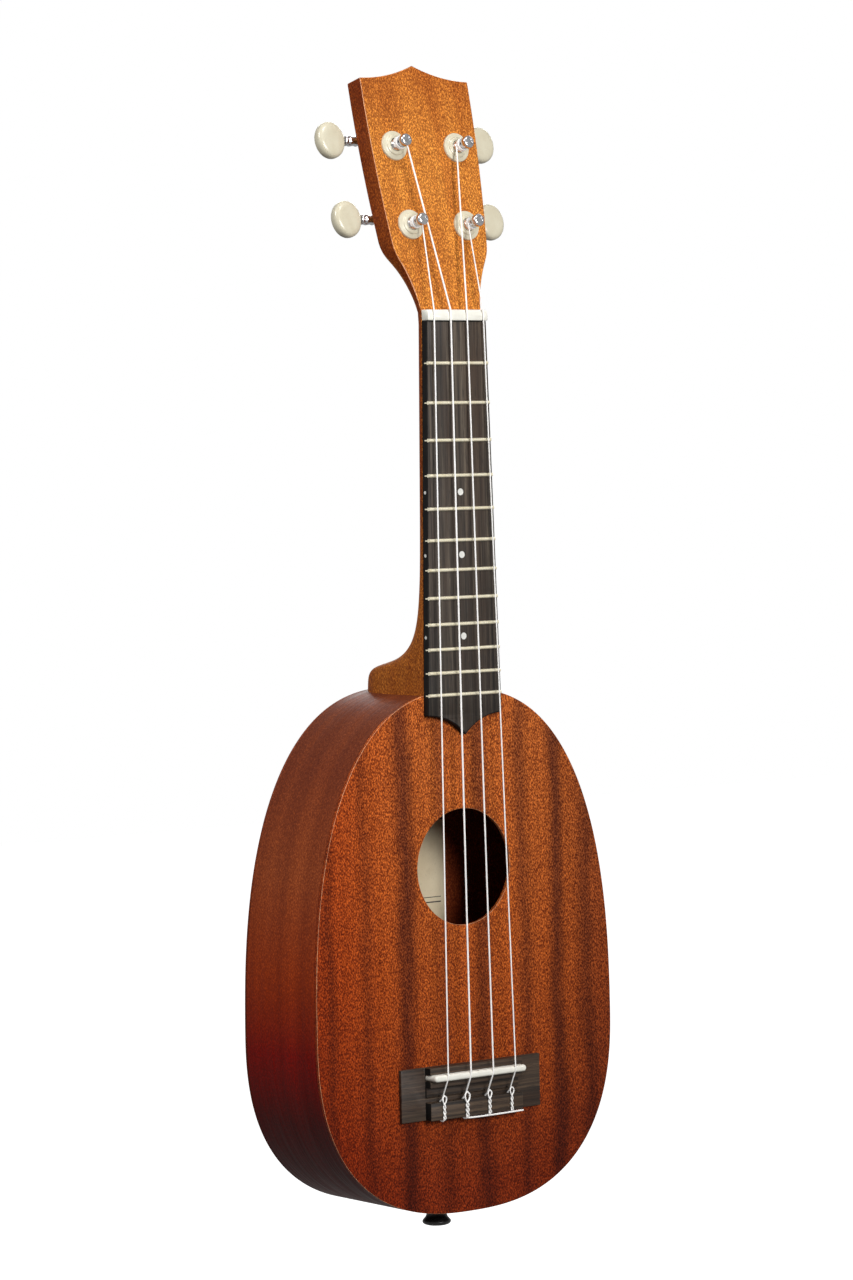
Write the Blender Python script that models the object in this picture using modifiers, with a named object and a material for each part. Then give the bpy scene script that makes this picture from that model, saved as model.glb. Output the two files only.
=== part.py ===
"""A soprano ukulele with a pineapple body, built up from its separate wood, plastic and metal pieces.

The instrument stands upright with its face towards -Y and its neck towards +Z. Shapes are drawn in the
instrument's own frame, whose origin is the nut's lower edge on top of the fretboard: X across, Y into the
body, Z up. One empty then moves everything so that the world origin lies where a hanger holds the headstock.
"""

import math

import bmesh
import bpy
import numpy as np
from mathutils import Matrix, Vector

MM = 0.001
GAP = 0.3 * MM  # left between pieces that touch
FINE_GAP = 0.1 * MM  # under each fret's crown
CUT_REACH = 80.0 * MM  # how far a cutter runs past the shape that it cuts
SHARP_ANGLE = math.radians(35.0)
HANGER = Vector((0.0, 12.0, 16.0)) * MM  # where a wall hanger bears on the headstock

# Scale and fretboard
SCALE_LENGTH = 346.0 * MM
FRETS = 12
NUT_HALF_WIDTH = 17.5 * MM
BOARD_HALF_WIDTH = 21.45 * MM  # at the twelfth fret
BOARD_THICKNESS = 3.5 * MM
BOARD_CORNER_Z = -182.5 * MM
BOARD_POINT_Z = -192.0 * MM
FRET_LENGTH_LESS = 0.3 * MM
SLOT_WIDTH = 1.0 * MM
SLOT_DEPTH = 1.6 * MM

# Body
TOP_Y = 3.8 * MM  # the soundboard's face
BODY_TOP_Z = -171.0 * MM
BODY_WIDE_Z = -327.0 * MM
BODY_TAIL_Z = -415.3 * MM
BODY_HALF_WIDTH = 86.7 * MM
BODY_SQUARENESS = 2.48  # exponent of the outline's two superellipses
DEPTH_AT_NECK = 54.0 * MM
DEPTH_AT_TAIL = 60.0 * MM
PLATE_THICKNESS = 2.0 * MM
SIDE_THICKNESS = 2.0 * MM
SOUNDHOLE_Z = -253.7 * MM
SOUNDHOLE_RADIUS = 27.2 * MM
NECK_BLOCK_HALF_WIDTH = 22.0 * MM
NECK_BLOCK_LENGTH = 20.0 * MM
END_BLOCK_HALF_WIDTH = 18.0 * MM
END_BLOCK_LENGTH = 12.0 * MM
LINING_WIDTH = 4.5 * MM
LINING_HEIGHT = 6.0 * MM
BRACE_WIDTH = 6.0 * MM
BRACE_HEIGHT = 8.0 * MM
BRACE_END_HEIGHT = 2.5 * MM
TOP_BRACE_Z = {"upper": -214.0 * MM, "lower": -294.0 * MM}
BACK_BRACE_Z = {"upper": -228.0 * MM, "lower": -348.0 * MM}
BUTTON_Y = 31.3 * MM

# Neck: at each height, how far it reaches behind the fretboard and how square that section is, heel first
NECK_STATIONS = (
    (-180.0 * MM, 53.0 * MM, 5.0),
    (-165.0 * MM, 52.6 * MM, 5.0),
    (-162.0 * MM, 50.6 * MM, 4.6),
    (-160.2 * MM, 46.5 * MM, 4.0),
    (-158.8 * MM, 40.5 * MM, 3.5),
    (-156.8 * MM, 32.5 * MM, 3.0),
    (-153.5 * MM, 25.8 * MM, 2.7),
    (-148.5 * MM, 20.3 * MM, 2.4),
    (-141.0 * MM, 15.9 * MM, 2.2),
    (-130.0 * MM, 12.6 * MM, 2.1),
    (-114.0 * MM, 10.8 * MM, 2.0),
    (-60.0 * MM, 10.5 * MM, 2.0),
    (-1.0 * MM, 10.5 * MM, 2.0),
)
# Where the neck widens into the headstock: distance up the headstock, half width and squareness
SHOULDER_STATIONS = (
    (0.3 * MM, 17.5 * MM, 2.1),
    (5.0 * MM, 18.2 * MM, 2.2),
    (10.5 * MM, 19.6 * MM, 2.5),
    (16.0 * MM, 21.5 * MM, 3.0),
    (20.5 * MM, 23.4 * MM, 3.8),
    (24.0 * MM, 25.2 * MM, 5.0),
    (26.5 * MM, 26.4 * MM, 7.0),
    (29.0 * MM, 27.3 * MM, 11.0),
    (32.0 * MM, 27.8 * MM, 22.0),
    (35.0 * MM, 28.1 * MM, 50.0),
)
SHOULDER_OVERLAP = 0.6 * MM  # between those rings and the flat part above them

# Headstock
HEAD_TILT = math.radians(12.5)
HEAD_FOOT = Vector((0.0, 4.0, 5.0)) * MM  # on the headstock's face, above the nut
HEAD_THICKNESS = 10.5 * MM
HEAD_SHOULDER = (28.1 * MM, 35.0 * MM)  # half width and height where the headstock's straight sides start
HEAD_BULGE = (31.9 * MM, 75.0 * MM)
HEAD_CORNER = (31.6 * MM, 111.5 * MM)
HEAD_TIP = 118.3 * MM
NUT_LENGTH = 5.0 * MM
NUT_TOP_Y = -1.2 * MM

# Bridge
BRIDGE_HALF_WIDTH = 41.0 * MM
BRIDGE_TOP_Z = -345.1 * MM
BRIDGE_LOW_Z = -369.7 * MM
WING_Y = 2.0 * MM  # the low surface of the bridge's wings
BLOCK_HALF_WIDTH = 27.2 * MM
BLOCK_Y = -2.3 * MM
STEP_Y = 0.9 * MM
SADDLE_Z = -349.9 * MM
SADDLE_HALF_THICKNESS = 1.55 * MM
SADDLE_TOP_Y = -6.0 * MM
STEP_TOP_Z = -354.5 * MM
CHANNEL_TOP_Z = -359.2 * MM
TIE_BLOCK_Z = -361.4 * MM
TIE_HOLE_Y = 0.3 * MM
TIE_HOLE_RADIUS = 0.9 * MM

# Strings, from the bass side (-X) to the treble side
STRING_RADII = (0.34 * MM, 0.42 * MM, 0.38 * MM, 0.32 * MM)
STRING_GAP_AT_NUT = 9.57 * MM
STRING_GAP_AT_SADDLE = 13.3 * MM

# Tuners, as (post's X, height up the headstock, string's height above the face)
TUNERS = (
    (-15.8 * MM, 41.0 * MM, 5.6 * MM),
    (-18.2 * MM, 78.8 * MM, 6.4 * MM),
    (18.2 * MM, 78.8 * MM, 4.2 * MM),
    (16.8 * MM, 41.0 * MM, 5.2 * MM),
)
POST_RADIUS = 2.9 * MM
POST_HOLE_RADIUS = 4.6 * MM
WORM_RISE = 6.1 * MM  # from the post's axis up to the worm's
WORM_DEPTH = 14.0 * MM  # from the headstock's face back to the worm's axis
GEAR_TEETH = 14
GEAR_PITCH_RADIUS = 4.25 * MM
GEAR_TIP_RADIUS = 4.6 * MM
GEAR_ROOT_RADIUS = 3.8 * MM
GEAR_HALF_FACE = 1.2 * MM
THREAD_CORE_RADIUS = 1.3 * MM
THREAD_TIP_RADIUS = 2.05 * MM
THREAD_ROOT_RADIUS = 0.9 * MM  # inside the core, so that the two join
THREAD_BASE_HALF = 0.65 * MM
THREAD_CREST_HALF = 0.06 * MM
THREAD_TURNS = 4
THREAD_STEPS = 11
EAR_INNER = 5.4 * MM
EAR_OUTER = 6.6 * MM
KNOB_START = 18.3 * MM
KNOB_LENGTH = 15.0 * MM
KNOB_HEIGHT = 17.5 * MM
KNOB_THICKNESS = 6.5 * MM


# --- scene, materials and objects ---


def clear_scene():
    for obj in list(bpy.data.objects):
        bpy.data.objects.remove(obj, do_unlink=True)


def new_collection(name):
    collection = bpy.data.collections.new(name)
    bpy.context.scene.collection.children.link(collection)
    return collection


def new_material(name, colour, roughness, metallic=0.0):
    material = bpy.data.materials.new(name)
    material.use_nodes = True
    shader = material.node_tree.nodes["Principled BSDF"]
    shader.inputs["Base Color"].default_value = (*colour, 1.0)
    shader.inputs["Roughness"].default_value = roughness
    shader.inputs["Metallic"].default_value = metallic
    return material


def new_empty(name, parent, location, turn=(0.0, 0.0, 0.0)):
    empty = bpy.data.objects.new(name, None)
    PARTS.objects.link(empty)
    empty.parent = parent
    empty.location = location
    empty.rotation_euler = turn
    return empty


def add_part(name, mesh, material, parent, location=(0.0, 0.0, 0.0), turn=(0.0, 0.0, 0.0)):
    """One sub-part: its own object and material."""
    obj = bpy.data.objects.new(name, mesh)
    obj.data.materials.append(material)
    PARTS.objects.link(obj)
    obj.parent = parent
    obj.location = location
    obj.rotation_euler = turn
    return obj


def add_helper(name, mesh, parent, location=(0.0, 0.0, 0.0), turn=(0.0, 0.0, 0.0)):
    """A shape that is only cut away from a part, or joined to it."""
    obj = bpy.data.objects.new(name, mesh)
    HELPERS.objects.link(obj)
    obj.parent = parent
    obj.location = location
    obj.rotation_euler = turn
    obj.hide_render = True
    obj.display_type = "WIRE"
    return obj


def boolean(obj, other, operation):
    modifier = obj.modifiers.new(other.name, "BOOLEAN")
    modifier.operation = operation
    modifier.solver = "EXACT"
    modifier.object = other


# --- mesh makers ---


def mesh_from(bm):
    """The finished mesh, smooth across its round surfaces and sharp at its corners."""
    bmesh.ops.recalc_face_normals(bm, faces=bm.faces)
    mesh = bpy.data.meshes.new("shape")
    bm.to_mesh(mesh)
    bm.free()
    mesh.shade_smooth()
    mesh.set_sharp_from_angle(angle=SHARP_ANGLE)
    return mesh


def plate(outlines, front, back):
    """The filled outlines, each a list of (x, z), from Y = front to Y = back."""
    curve = bpy.data.curves.new("outline", "CURVE")
    curve.dimensions = "2D"
    curve.fill_mode = "BOTH"
    curve.extrude = (back - front) / 2
    for points in outlines:
        spline = curve.splines.new("POLY")
        spline.points.add(len(points) - 1)
        for point, (x, z) in zip(spline.points, points):
            point.co = (x, z, 0.0, 1.0)
        spline.use_cyclic_u = True
    mesh = welded_mesh_of(curve)
    upright = Matrix.Translation((0.0, (front + back) / 2, 0.0)) @ Matrix.Rotation(math.pi / 2, 4, "X")
    mesh.transform(upright)
    return mesh


def welded_mesh_of(curve):
    """A curve's mesh with its loose caps joined to its sides."""
    temporary = bpy.data.objects.new("temporary", curve)
    HELPERS.objects.link(temporary)
    bpy.context.view_layer.update()
    graph = bpy.context.evaluated_depsgraph_get()
    mesh = bpy.data.meshes.new_from_object(temporary.evaluated_get(graph))
    bpy.data.objects.remove(temporary, do_unlink=True)
    bpy.data.curves.remove(curve)
    bm = bmesh.new()
    bm.from_mesh(mesh)
    bmesh.ops.remove_doubles(bm, verts=bm.verts, dist=1e-7)
    bpy.data.meshes.remove(mesh)
    return mesh_from(bm)


def bar_along_x(profile, half_length):
    """A closed (y, z) profile drawn out along X, the same each way from the middle."""
    mesh = plate([profile], -half_length, half_length)
    # plate() drew y along X and the length along Y: a quarter turn about Z puts each in place.
    mesh.transform(Matrix(((0, 1, 0, 0), (1, 0, 0, 0), (0, 0, 1, 0), (0, 0, 0, 1))))
    mesh.flip_normals()
    return mesh


def box(low, high):
    bm = bmesh.new()
    add_box(bm, low, high)
    return mesh_from(bm)


def add_box(bm, low, high):
    low = Vector(low)
    high = Vector(high)
    place = Matrix.Translation((low + high) / 2) @ Matrix.Diagonal((*(high - low), 1.0))
    bmesh.ops.create_cube(bm, size=1.0, matrix=place)


def loft(rings):
    """A closed solid through rings that have the same number of points."""
    bm = bmesh.new()
    rows = [[bm.verts.new(point) for point in ring] for ring in rings]
    count = len(rows[0])
    for lower, upper in zip(rows, rows[1:]):
        for i in range(count):
            j = (i + 1) % count
            bm.faces.new((lower[i], lower[j], upper[j], upper[i]))
    bm.faces.new(rows[0])
    bm.faces.new(rows[-1])
    return mesh_from(bm)


def profile_mesh(points, closed):
    """A wire of (radius, height) points for a Screw modifier to turn about Z."""
    mesh = bpy.data.meshes.new("profile")
    edges = [(i, i + 1) for i in range(len(points) - 1)]
    if closed:
        edges.append((len(points) - 1, 0))
    mesh.from_pydata([(radius, 0.0, height) for radius, height in points], edges, [])
    return mesh


def turn_profile(obj, steps):
    screw = obj.modifiers.new("turned", "SCREW")
    screw.steps = steps
    screw.render_steps = steps
    screw.use_merge_vertices = True
    screw.merge_threshold = 1e-6
    screw.use_smooth_shade = True


def cylinder_mesh(radius, length, steps=16):
    """A cylinder along Z, centred."""
    bm = bmesh.new()
    bmesh.ops.create_cone(
        bm, cap_ends=True, segments=steps, radius1=radius, radius2=radius, depth=length
    )
    return mesh_from(bm)


def bevel(obj, width, segments=1):
    modifier = obj.modifiers.new("edges", "BEVEL")
    modifier.width = width
    modifier.segments = segments
    modifier.limit_method = "ANGLE"


# --- the body's outline ---


def half_outline(inset=0.0, top_x=0.0, tail_x=0.0, count=44):
    """The treble half of the body's outline from top to tail, moved in by inset, between two X values."""
    angle = np.linspace(0.0, math.pi, 8 * count)
    power = 2.0 / BODY_SQUARENESS
    across = np.sin(angle).clip(0.0) ** power
    along = np.sign(np.cos(angle)) * np.abs(np.cos(angle)) ** power
    length = np.where(along > 0, BODY_TOP_Z - BODY_WIDE_Z, BODY_WIDE_Z - BODY_TAIL_Z)
    normal_x = across ** (BODY_SQUARENESS - 1) / BODY_HALF_WIDTH
    normal_z = np.sign(along) * np.abs(along) ** (BODY_SQUARENESS - 1) / length
    size = np.hypot(normal_x, normal_z)
    x = BODY_HALF_WIDTH * across - inset * normal_x / size
    z = BODY_WIDE_Z + length * along - inset * normal_z / size
    middle = len(x) // 2
    upper = np.interp(top_x, x[:middle], np.arange(middle))
    lower = np.interp(tail_x, x[middle:][::-1], np.arange(middle, len(x))[::-1])
    stations = np.linspace(upper, lower, count)
    index = np.arange(len(x))
    return list(zip(np.interp(stations, index, x), np.interp(stations, index, z)))


def mirrored(points):
    return [(-x, z) for x, z in points]


def full_outline(inset=0.0, count=44):
    half = half_outline(inset, count=count)
    return half + mirrored(half[1:-1])[::-1]


def body_half_width(z, inset):
    """Half the body's inside width at a height, measured between curves moved in by inset."""
    points = np.array(half_outline(inset))
    return float(np.interp(-z, -points[:, 1], points[:, 0]))


def back_y(z):
    """The back's outer surface, which slopes outwards from the neck to the tail."""
    slope = (DEPTH_AT_TAIL - DEPTH_AT_NECK) / (BODY_TOP_Z - BODY_TAIL_Z)
    return TOP_Y + DEPTH_AT_NECK + slope * (BODY_TOP_Z - z)


def follow_back(mesh, offset, front_offset=None):
    """Moves a plate's rear points onto the sloping back less offset, and its front ones if asked."""
    middle = sum(vertex.co.y for vertex in mesh.vertices) / len(mesh.vertices)
    for vertex in mesh.vertices:
        if vertex.co.y > middle:
            vertex.co.y = back_y(vertex.co.z) - offset
        elif front_offset is not None:
            vertex.co.y = back_y(vertex.co.z) - front_offset
    return mesh


def circle(centre_x, centre_z, radius, steps):
    angles = [2 * math.pi * i / steps for i in range(steps)]
    return [(centre_x + radius * math.cos(a), centre_z + radius * math.sin(a)) for a in angles]


# --- body pieces ---

INSIDE_TOP_Y = TOP_Y + PLATE_THICKNESS
BACK_INSIDE = PLATE_THICKNESS + GAP  # how far the inner pieces stay in front of the back's outer surface


def build_soundboard():
    hole = circle(0.0, SOUNDHOLE_Z, SOUNDHOLE_RADIUS, 36)
    mesh = plate([full_outline(), hole], TOP_Y, INSIDE_TOP_Y)
    add_part("soundboard", mesh, MAHOGANY_TOP, INSTRUMENT)


def build_back_plate():
    mesh = plate([full_outline()], 0.0, 1.0 * MM)
    add_part("back_plate", follow_back(mesh, 0.0, PLATE_THICKNESS), MAHOGANY_SIDE, INSTRUMENT)


def build_sides():
    seam = GAP / 2
    outer = half_outline(0.0, seam, seam)
    inner = half_outline(SIDE_THICKNESS, seam, seam)
    loop = outer + inner[::-1]
    for name, outline in (("side_bass", mirrored(loop)), ("side_treble", loop)):
        mesh = plate([outline], INSIDE_TOP_Y + GAP, INSIDE_TOP_Y + 1.0)
        side = add_part(name, follow_back(mesh, BACK_INSIDE), MAHOGANY_SIDE, INSTRUMENT)
        boolean(side, PEG_HOLE, "DIFFERENCE")


def build_blocks():
    wall = SIDE_THICKNESS + GAP
    inner = half_outline(wall, count=64)
    top = [point for point in inner if point[1] > BODY_WIDE_Z and point[0] < NECK_BLOCK_HALF_WIDTH]
    tail = [point for point in inner if point[1] < BODY_WIDE_Z and point[0] < END_BLOCK_HALF_WIDTH]
    top_end = BODY_TOP_Z - wall - NECK_BLOCK_LENGTH
    tail_end = BODY_TAIL_Z + wall + END_BLOCK_LENGTH
    neck_outline = mirrored(top[1:])[::-1] + top + [(top[-1][0], top_end), (-top[-1][0], top_end)]
    end_outline = tail + mirrored(tail[:-1])[::-1] + [(-tail[0][0], tail_end), (tail[0][0], tail_end)]
    front = INSIDE_TOP_Y + GAP
    neck_block = plate([neck_outline], front, front + 1.0)
    add_part("neck_block", follow_back(neck_block, BACK_INSIDE), INNER_WOOD, INSTRUMENT)
    end_block = plate([end_outline], front, front + 1.0)
    end_part = add_part("end_block", follow_back(end_block, BACK_INSIDE), INNER_WOOD, INSTRUMENT)
    boolean(end_part, PEG_HOLE, "DIFFERENCE")


def build_linings():
    """Strips that double the glued edge between each side and the two plates."""
    wall = SIDE_THICKNESS + GAP
    ends = (NECK_BLOCK_HALF_WIDTH + GAP, END_BLOCK_HALF_WIDTH + GAP)
    loop = half_outline(wall, *ends, count=30)
    loop += half_outline(wall + LINING_WIDTH, *ends, count=30)[::-1]
    front = INSIDE_TOP_Y + GAP
    for side, outline in (("bass", mirrored(loop)), ("treble", loop)):
        top = plate([outline], front, front + LINING_HEIGHT)
        add_part("top_lining_" + side, top, INNER_WOOD, INSTRUMENT)
        back = plate([outline], 0.0, 1.0 * MM)
        follow_back(back, BACK_INSIDE, BACK_INSIDE + LINING_HEIGHT)
        add_part("back_lining_" + side, back, INNER_WOOD, INSTRUMENT)


def brace_mesh(z, face_y, direction):
    """A bar across the body, thinned towards its ends. direction is +1 behind the top, -1 before the back."""
    inset = SIDE_THICKNESS + LINING_WIDTH + 3 * GAP
    reach = min(body_half_width(z + end, inset) for end in (-BRACE_WIDTH / 2, BRACE_WIDTH / 2))
    flat = 0.6 * reach
    tall = face_y + direction * BRACE_HEIGHT
    low = face_y + direction * BRACE_END_HEIGHT
    profile = [(-reach, face_y), (reach, face_y), (reach, low), (flat, tall), (-flat, tall), (-reach, low)]
    mesh = plate([profile], -BRACE_WIDTH / 2, BRACE_WIDTH / 2)
    # The profile was drawn in X and Z: this lays its height along Y and its width along Z.
    mesh.transform(Matrix(((1, 0, 0, 0), (0, 0, 1, 0), (0, -1, 0, z), (0, 0, 0, 1))))
    return mesh


def build_braces():
    for name, z in TOP_BRACE_Z.items():
        mesh = brace_mesh(z, INSIDE_TOP_Y + GAP, 1)
        add_part("top_brace_" + name, mesh, INNER_WOOD, INSTRUMENT)
    for name, z in BACK_BRACE_Z.items():
        mesh = brace_mesh(z, back_y(z + BRACE_WIDTH / 2) - BACK_INSIDE, -1)
        add_part("back_brace_" + name, mesh, INNER_WOOD, INSTRUMENT)


def build_end_button():
    profile = [
        (0.0, 12.0 * MM),
        (2.8 * MM, 12.0 * MM),
        (3.2 * MM, -GAP),
        (5.4 * MM, -GAP),
        (4.8 * MM, -1.6 * MM),
        (4.6 * MM, -3.6 * MM),
        (4.9 * MM, -5.2 * MM),
        (5.8 * MM, -6.7 * MM),
        (6.8 * MM, -7.8 * MM),
        (6.8 * MM, -8.6 * MM),
        (6.1 * MM, -9.4 * MM),
        (4.0 * MM, -9.8 * MM),
        (0.0, -10.0 * MM),
    ]
    mesh = profile_mesh(profile, closed=False)
    button = add_part("end_button", mesh, BLACK_PLASTIC, INSTRUMENT, (0.0, BUTTON_Y, BODY_TAIL_Z))
    turn_profile(button, 20)


# --- neck, fretboard, nut and frets ---


def board_half_width(z):
    join = SCALE_LENGTH / 2
    return NUT_HALF_WIDTH + (BOARD_HALF_WIDTH - NUT_HALF_WIDTH) * -z / join


def fret_z(number):
    return -SCALE_LENGTH * (1.0 - 2.0 ** (-number / 12.0))


def on_headstock(x, depth, height):
    """A point of the headstock's own frame, given in the instrument's."""
    across = Vector((x, 0.0, 0.0))
    inward = Vector((0.0, math.cos(HEAD_TILT), -math.sin(HEAD_TILT)))
    up = Vector((0.0, math.sin(HEAD_TILT), math.cos(HEAD_TILT)))
    return HEAD_FOOT + across + depth * inward + height * up


def neck_ring(z, half_width, front, depth, squareness, steps=20):
    """A flat front edge and a half superellipse behind it."""
    ring = []
    for i in range(steps + 1):
        angle = math.pi * i / steps
        cosine = math.cos(angle)
        x = half_width * math.copysign(abs(cosine) ** (2 / squareness), cosine)
        y = front + depth * max(math.sin(angle), 0.0) ** (2 / squareness)
        ring.append((x, y, z))
    return ring


def neck_rings():
    """Rings from below the heel up to the headstock's shoulders."""
    rings = []
    for z, depth, squareness in NECK_STATIONS:
        rings.append(neck_ring(z, board_half_width(z), TOP_Y, depth, squareness))
    for height, half_width, squareness in SHOULDER_STATIONS:
        ring = neck_ring(height, half_width, 0.0, HEAD_THICKNESS, squareness)
        rings.append([on_headstock(*point) for point in ring])
    return rings


def head_outline():
    """The headstock above its shoulders, as (x, height up its face)."""
    side = []
    for i in range(9):
        t = i / 8
        weights = ((1 - t) ** 2, 2 * t * (1 - t), t**2)
        corners = (HEAD_SHOULDER, HEAD_BULGE, HEAD_CORNER)
        x = sum(w * corner[0] for w, corner in zip(weights, corners))
        height = sum(w * corner[1] for w, corner in zip(weights, corners))
        side.append((x, height))
    side.insert(0, (HEAD_SHOULDER[0], HEAD_SHOULDER[1] - SHOULDER_OVERLAP))
    rise = HEAD_TIP - HEAD_CORNER[1]
    radius = (HEAD_CORNER[0] ** 2 + rise**2) / (2 * rise)
    crown = []
    for i in range(1, 9):
        run = HEAD_CORNER[0] * i / 8
        crown.append((HEAD_CORNER[0] - run, HEAD_CORNER[1] + radius - math.sqrt(radius**2 - run**2)))
    half = side + crown
    return half + mirrored(half[:-1])[::-1]


def build_neck():
    neck = add_part("neck", loft(neck_rings()), MAHOGANY_NECK, INSTRUMENT)
    slab = add_helper("head_slab", plate([head_outline()], 0.0, HEAD_THICKNESS), HEADSTOCK)
    boolean(neck, slab, "UNION")
    body = add_helper("body_shape", plate([full_outline(-GAP)], -CUT_REACH, CUT_REACH), INSTRUMENT)
    boolean(neck, body, "DIFFERENCE")
    for number, (x, height, _) in enumerate(TUNERS, 1):
        hole = cylinder_mesh(POST_HOLE_RADIUS, CUT_REACH, 20)
        place = (x, HEAD_THICKNESS / 2, height)
        cutter = add_helper(f"post_hole_{number}", hole, HEADSTOCK, place, (math.pi / 2, 0.0, 0.0))
        boolean(neck, cutter, "DIFFERENCE")


def board_outline():
    """The fretboard's outline: its end has a centre point between two concave arcs."""
    corner = board_half_width(BOARD_CORNER_Z)
    drop = BOARD_CORNER_Z - BOARD_POINT_Z
    radius = (corner**2 + drop**2) / (2 * drop)
    half = [(NUT_HALF_WIDTH, 0.0)]
    for i in range(9):
        run = corner * i / 8
        half.append((corner - run, BOARD_CORNER_Z - radius + math.sqrt(radius**2 - run**2)))
    return half + mirrored(half[:-1])[::-1]


def build_fretboard():
    board = add_part("fretboard", plate([board_outline()], 0.0, BOARD_THICKNESS), ROSEWOOD, INSTRUMENT)
    slots = bmesh.new()
    for number in range(1, FRETS + 1):
        z = fret_z(number)
        low = (-CUT_REACH, -CUT_REACH, z - SLOT_WIDTH / 2)
        high = (CUT_REACH, SLOT_DEPTH, z + SLOT_WIDTH / 2)
        add_box(slots, low, high)
    boolean(board, add_helper("fret_slots", mesh_from(slots), INSTRUMENT), "DIFFERENCE")


def fret_profile(z):
    """A domed crown on a thin tang, as (y, z) points."""
    half = (
        (-1.0 * MM, 0.3 * MM),
        (-0.65 * MM, 0.8 * MM),
        (-FINE_GAP, 1.0 * MM),
        (-FINE_GAP, 0.3 * MM),
        (1.3 * MM, 0.3 * MM),
    )
    lower = [(y, z - offset) for y, offset in half]
    return lower + [(y, z + offset) for y, offset in half[::-1]]


def build_frets():
    for number in range(1, FRETS + 1):
        z = fret_z(number)
        mesh = bar_along_x(fret_profile(z), board_half_width(z) - FRET_LENGTH_LESS)
        add_part(f"fret_{number:02d}", mesh, FRET_METAL, INSTRUMENT)


def build_nut():
    half = NUT_HALF_WIDTH - 0.2 * MM
    mesh = box((-half, NUT_TOP_Y, GAP), (half, TOP_Y - GAP, GAP + NUT_LENGTH))
    bevel(add_part("nut", mesh, BONE, INSTRUMENT), 0.4 * MM)


# --- bridge, saddle and strings ---


def string_x(number, gap):
    return (number - 1.5) * gap


def build_bridge():
    low = (-BRIDGE_HALF_WIDTH, WING_Y, BRIDGE_LOW_Z)
    high = (BRIDGE_HALF_WIDTH, TOP_Y - GAP, BRIDGE_TOP_Z)
    bridge = add_part("bridge", box(low, high), ROSEWOOD, INSTRUMENT)
    floor = WING_Y + 0.5 * MM
    profile = [
        (floor, BRIDGE_TOP_Z - 0.2 * MM),
        (BLOCK_Y, BRIDGE_TOP_Z - 0.2 * MM),
        (BLOCK_Y, STEP_TOP_Z),
        (STEP_Y, STEP_TOP_Z),
        (STEP_Y, CHANNEL_TOP_Z),
        (WING_Y + 0.1 * MM, CHANNEL_TOP_Z),
        (WING_Y + 0.1 * MM, TIE_BLOCK_Z),
        (BLOCK_Y, TIE_BLOCK_Z),
        (BLOCK_Y, BRIDGE_LOW_Z + 0.2 * MM),
        (floor, BRIDGE_LOW_Z + 0.2 * MM),
    ]
    block = add_helper("bridge_block", bar_along_x(profile, BLOCK_HALF_WIDTH), INSTRUMENT)
    boolean(bridge, block, "UNION")
    slot_half = SADDLE_HALF_THICKNESS + GAP
    slot_low = (-CUT_REACH, BLOCK_Y - CUT_REACH, SADDLE_Z - slot_half)
    slot_high = (CUT_REACH, WING_Y - 0.2 * MM, SADDLE_Z + slot_half)
    boolean(bridge, add_helper("saddle_slot", box(slot_low, slot_high), INSTRUMENT), "DIFFERENCE")
    middle = (TIE_BLOCK_Z + BRIDGE_LOW_Z) / 2
    for number in range(len(STRING_RADII)):
        place = (string_x(number, STRING_GAP_AT_SADDLE), TIE_HOLE_Y, middle)
        drill = cylinder_mesh(TIE_HOLE_RADIUS, 12.0 * MM, 10)
        boolean(bridge, add_helper(f"tie_hole_{number + 1}", drill, INSTRUMENT, place), "DIFFERENCE")


def build_saddle():
    straight = BLOCK_HALF_WIDTH - 0.2 * MM - SADDLE_HALF_THICKNESS
    outline = []
    for i in range(9):
        angle = math.pi * (i / 8 - 0.5)
        x = straight + SADDLE_HALF_THICKNESS * math.cos(angle)
        outline.append((x, SADDLE_Z + SADDLE_HALF_THICKNESS * math.sin(angle)))
    outline += mirrored(outline)[::-1]
    mesh = plate([outline], SADDLE_TOP_Y, WING_Y - 0.2 * MM - GAP)
    bevel(add_part("saddle", mesh, BONE, INSTRUMENT), 0.5 * MM)


def string_route(number):
    """Through the tie block, over the saddle and the nut, and up to the inner side of the post."""
    radius = STRING_RADII[number]
    low_x = string_x(number, STRING_GAP_AT_SADDLE)
    nut_x = string_x(number, STRING_GAP_AT_NUT)
    post_x, height, lift = TUNERS[number]
    inward = -math.copysign(POST_RADIUS + radius + 0.35 * MM, post_x)
    return [
        Vector((low_x, TIE_HOLE_Y, BRIDGE_LOW_Z - 0.6 * MM)),
        Vector((low_x, TIE_HOLE_Y, TIE_BLOCK_Z + 0.3 * MM)),
        Vector((low_x, SADDLE_TOP_Y - radius - GAP, SADDLE_Z - SADDLE_HALF_THICKNESS)),
        Vector((nut_x, NUT_TOP_Y - radius - GAP, GAP + NUT_LENGTH)),
        on_headstock(post_x + inward, -lift, height),
    ]


def build_strings():
    for number, radius in enumerate(STRING_RADII):
        curve = bpy.data.curves.new("string", "CURVE")
        curve.dimensions = "3D"
        curve.bevel_depth = radius
        curve.bevel_resolution = 1
        curve.use_fill_caps = True
        route = string_route(number)
        spline = curve.splines.new("POLY")
        spline.points.add(len(route) - 1)
        for point, place in zip(spline.points, route):
            point.co = (*place, 1.0)
        add_part(f"string_{number + 1}", curve, NYLON, INSTRUMENT)


# --- tuners ---


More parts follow.
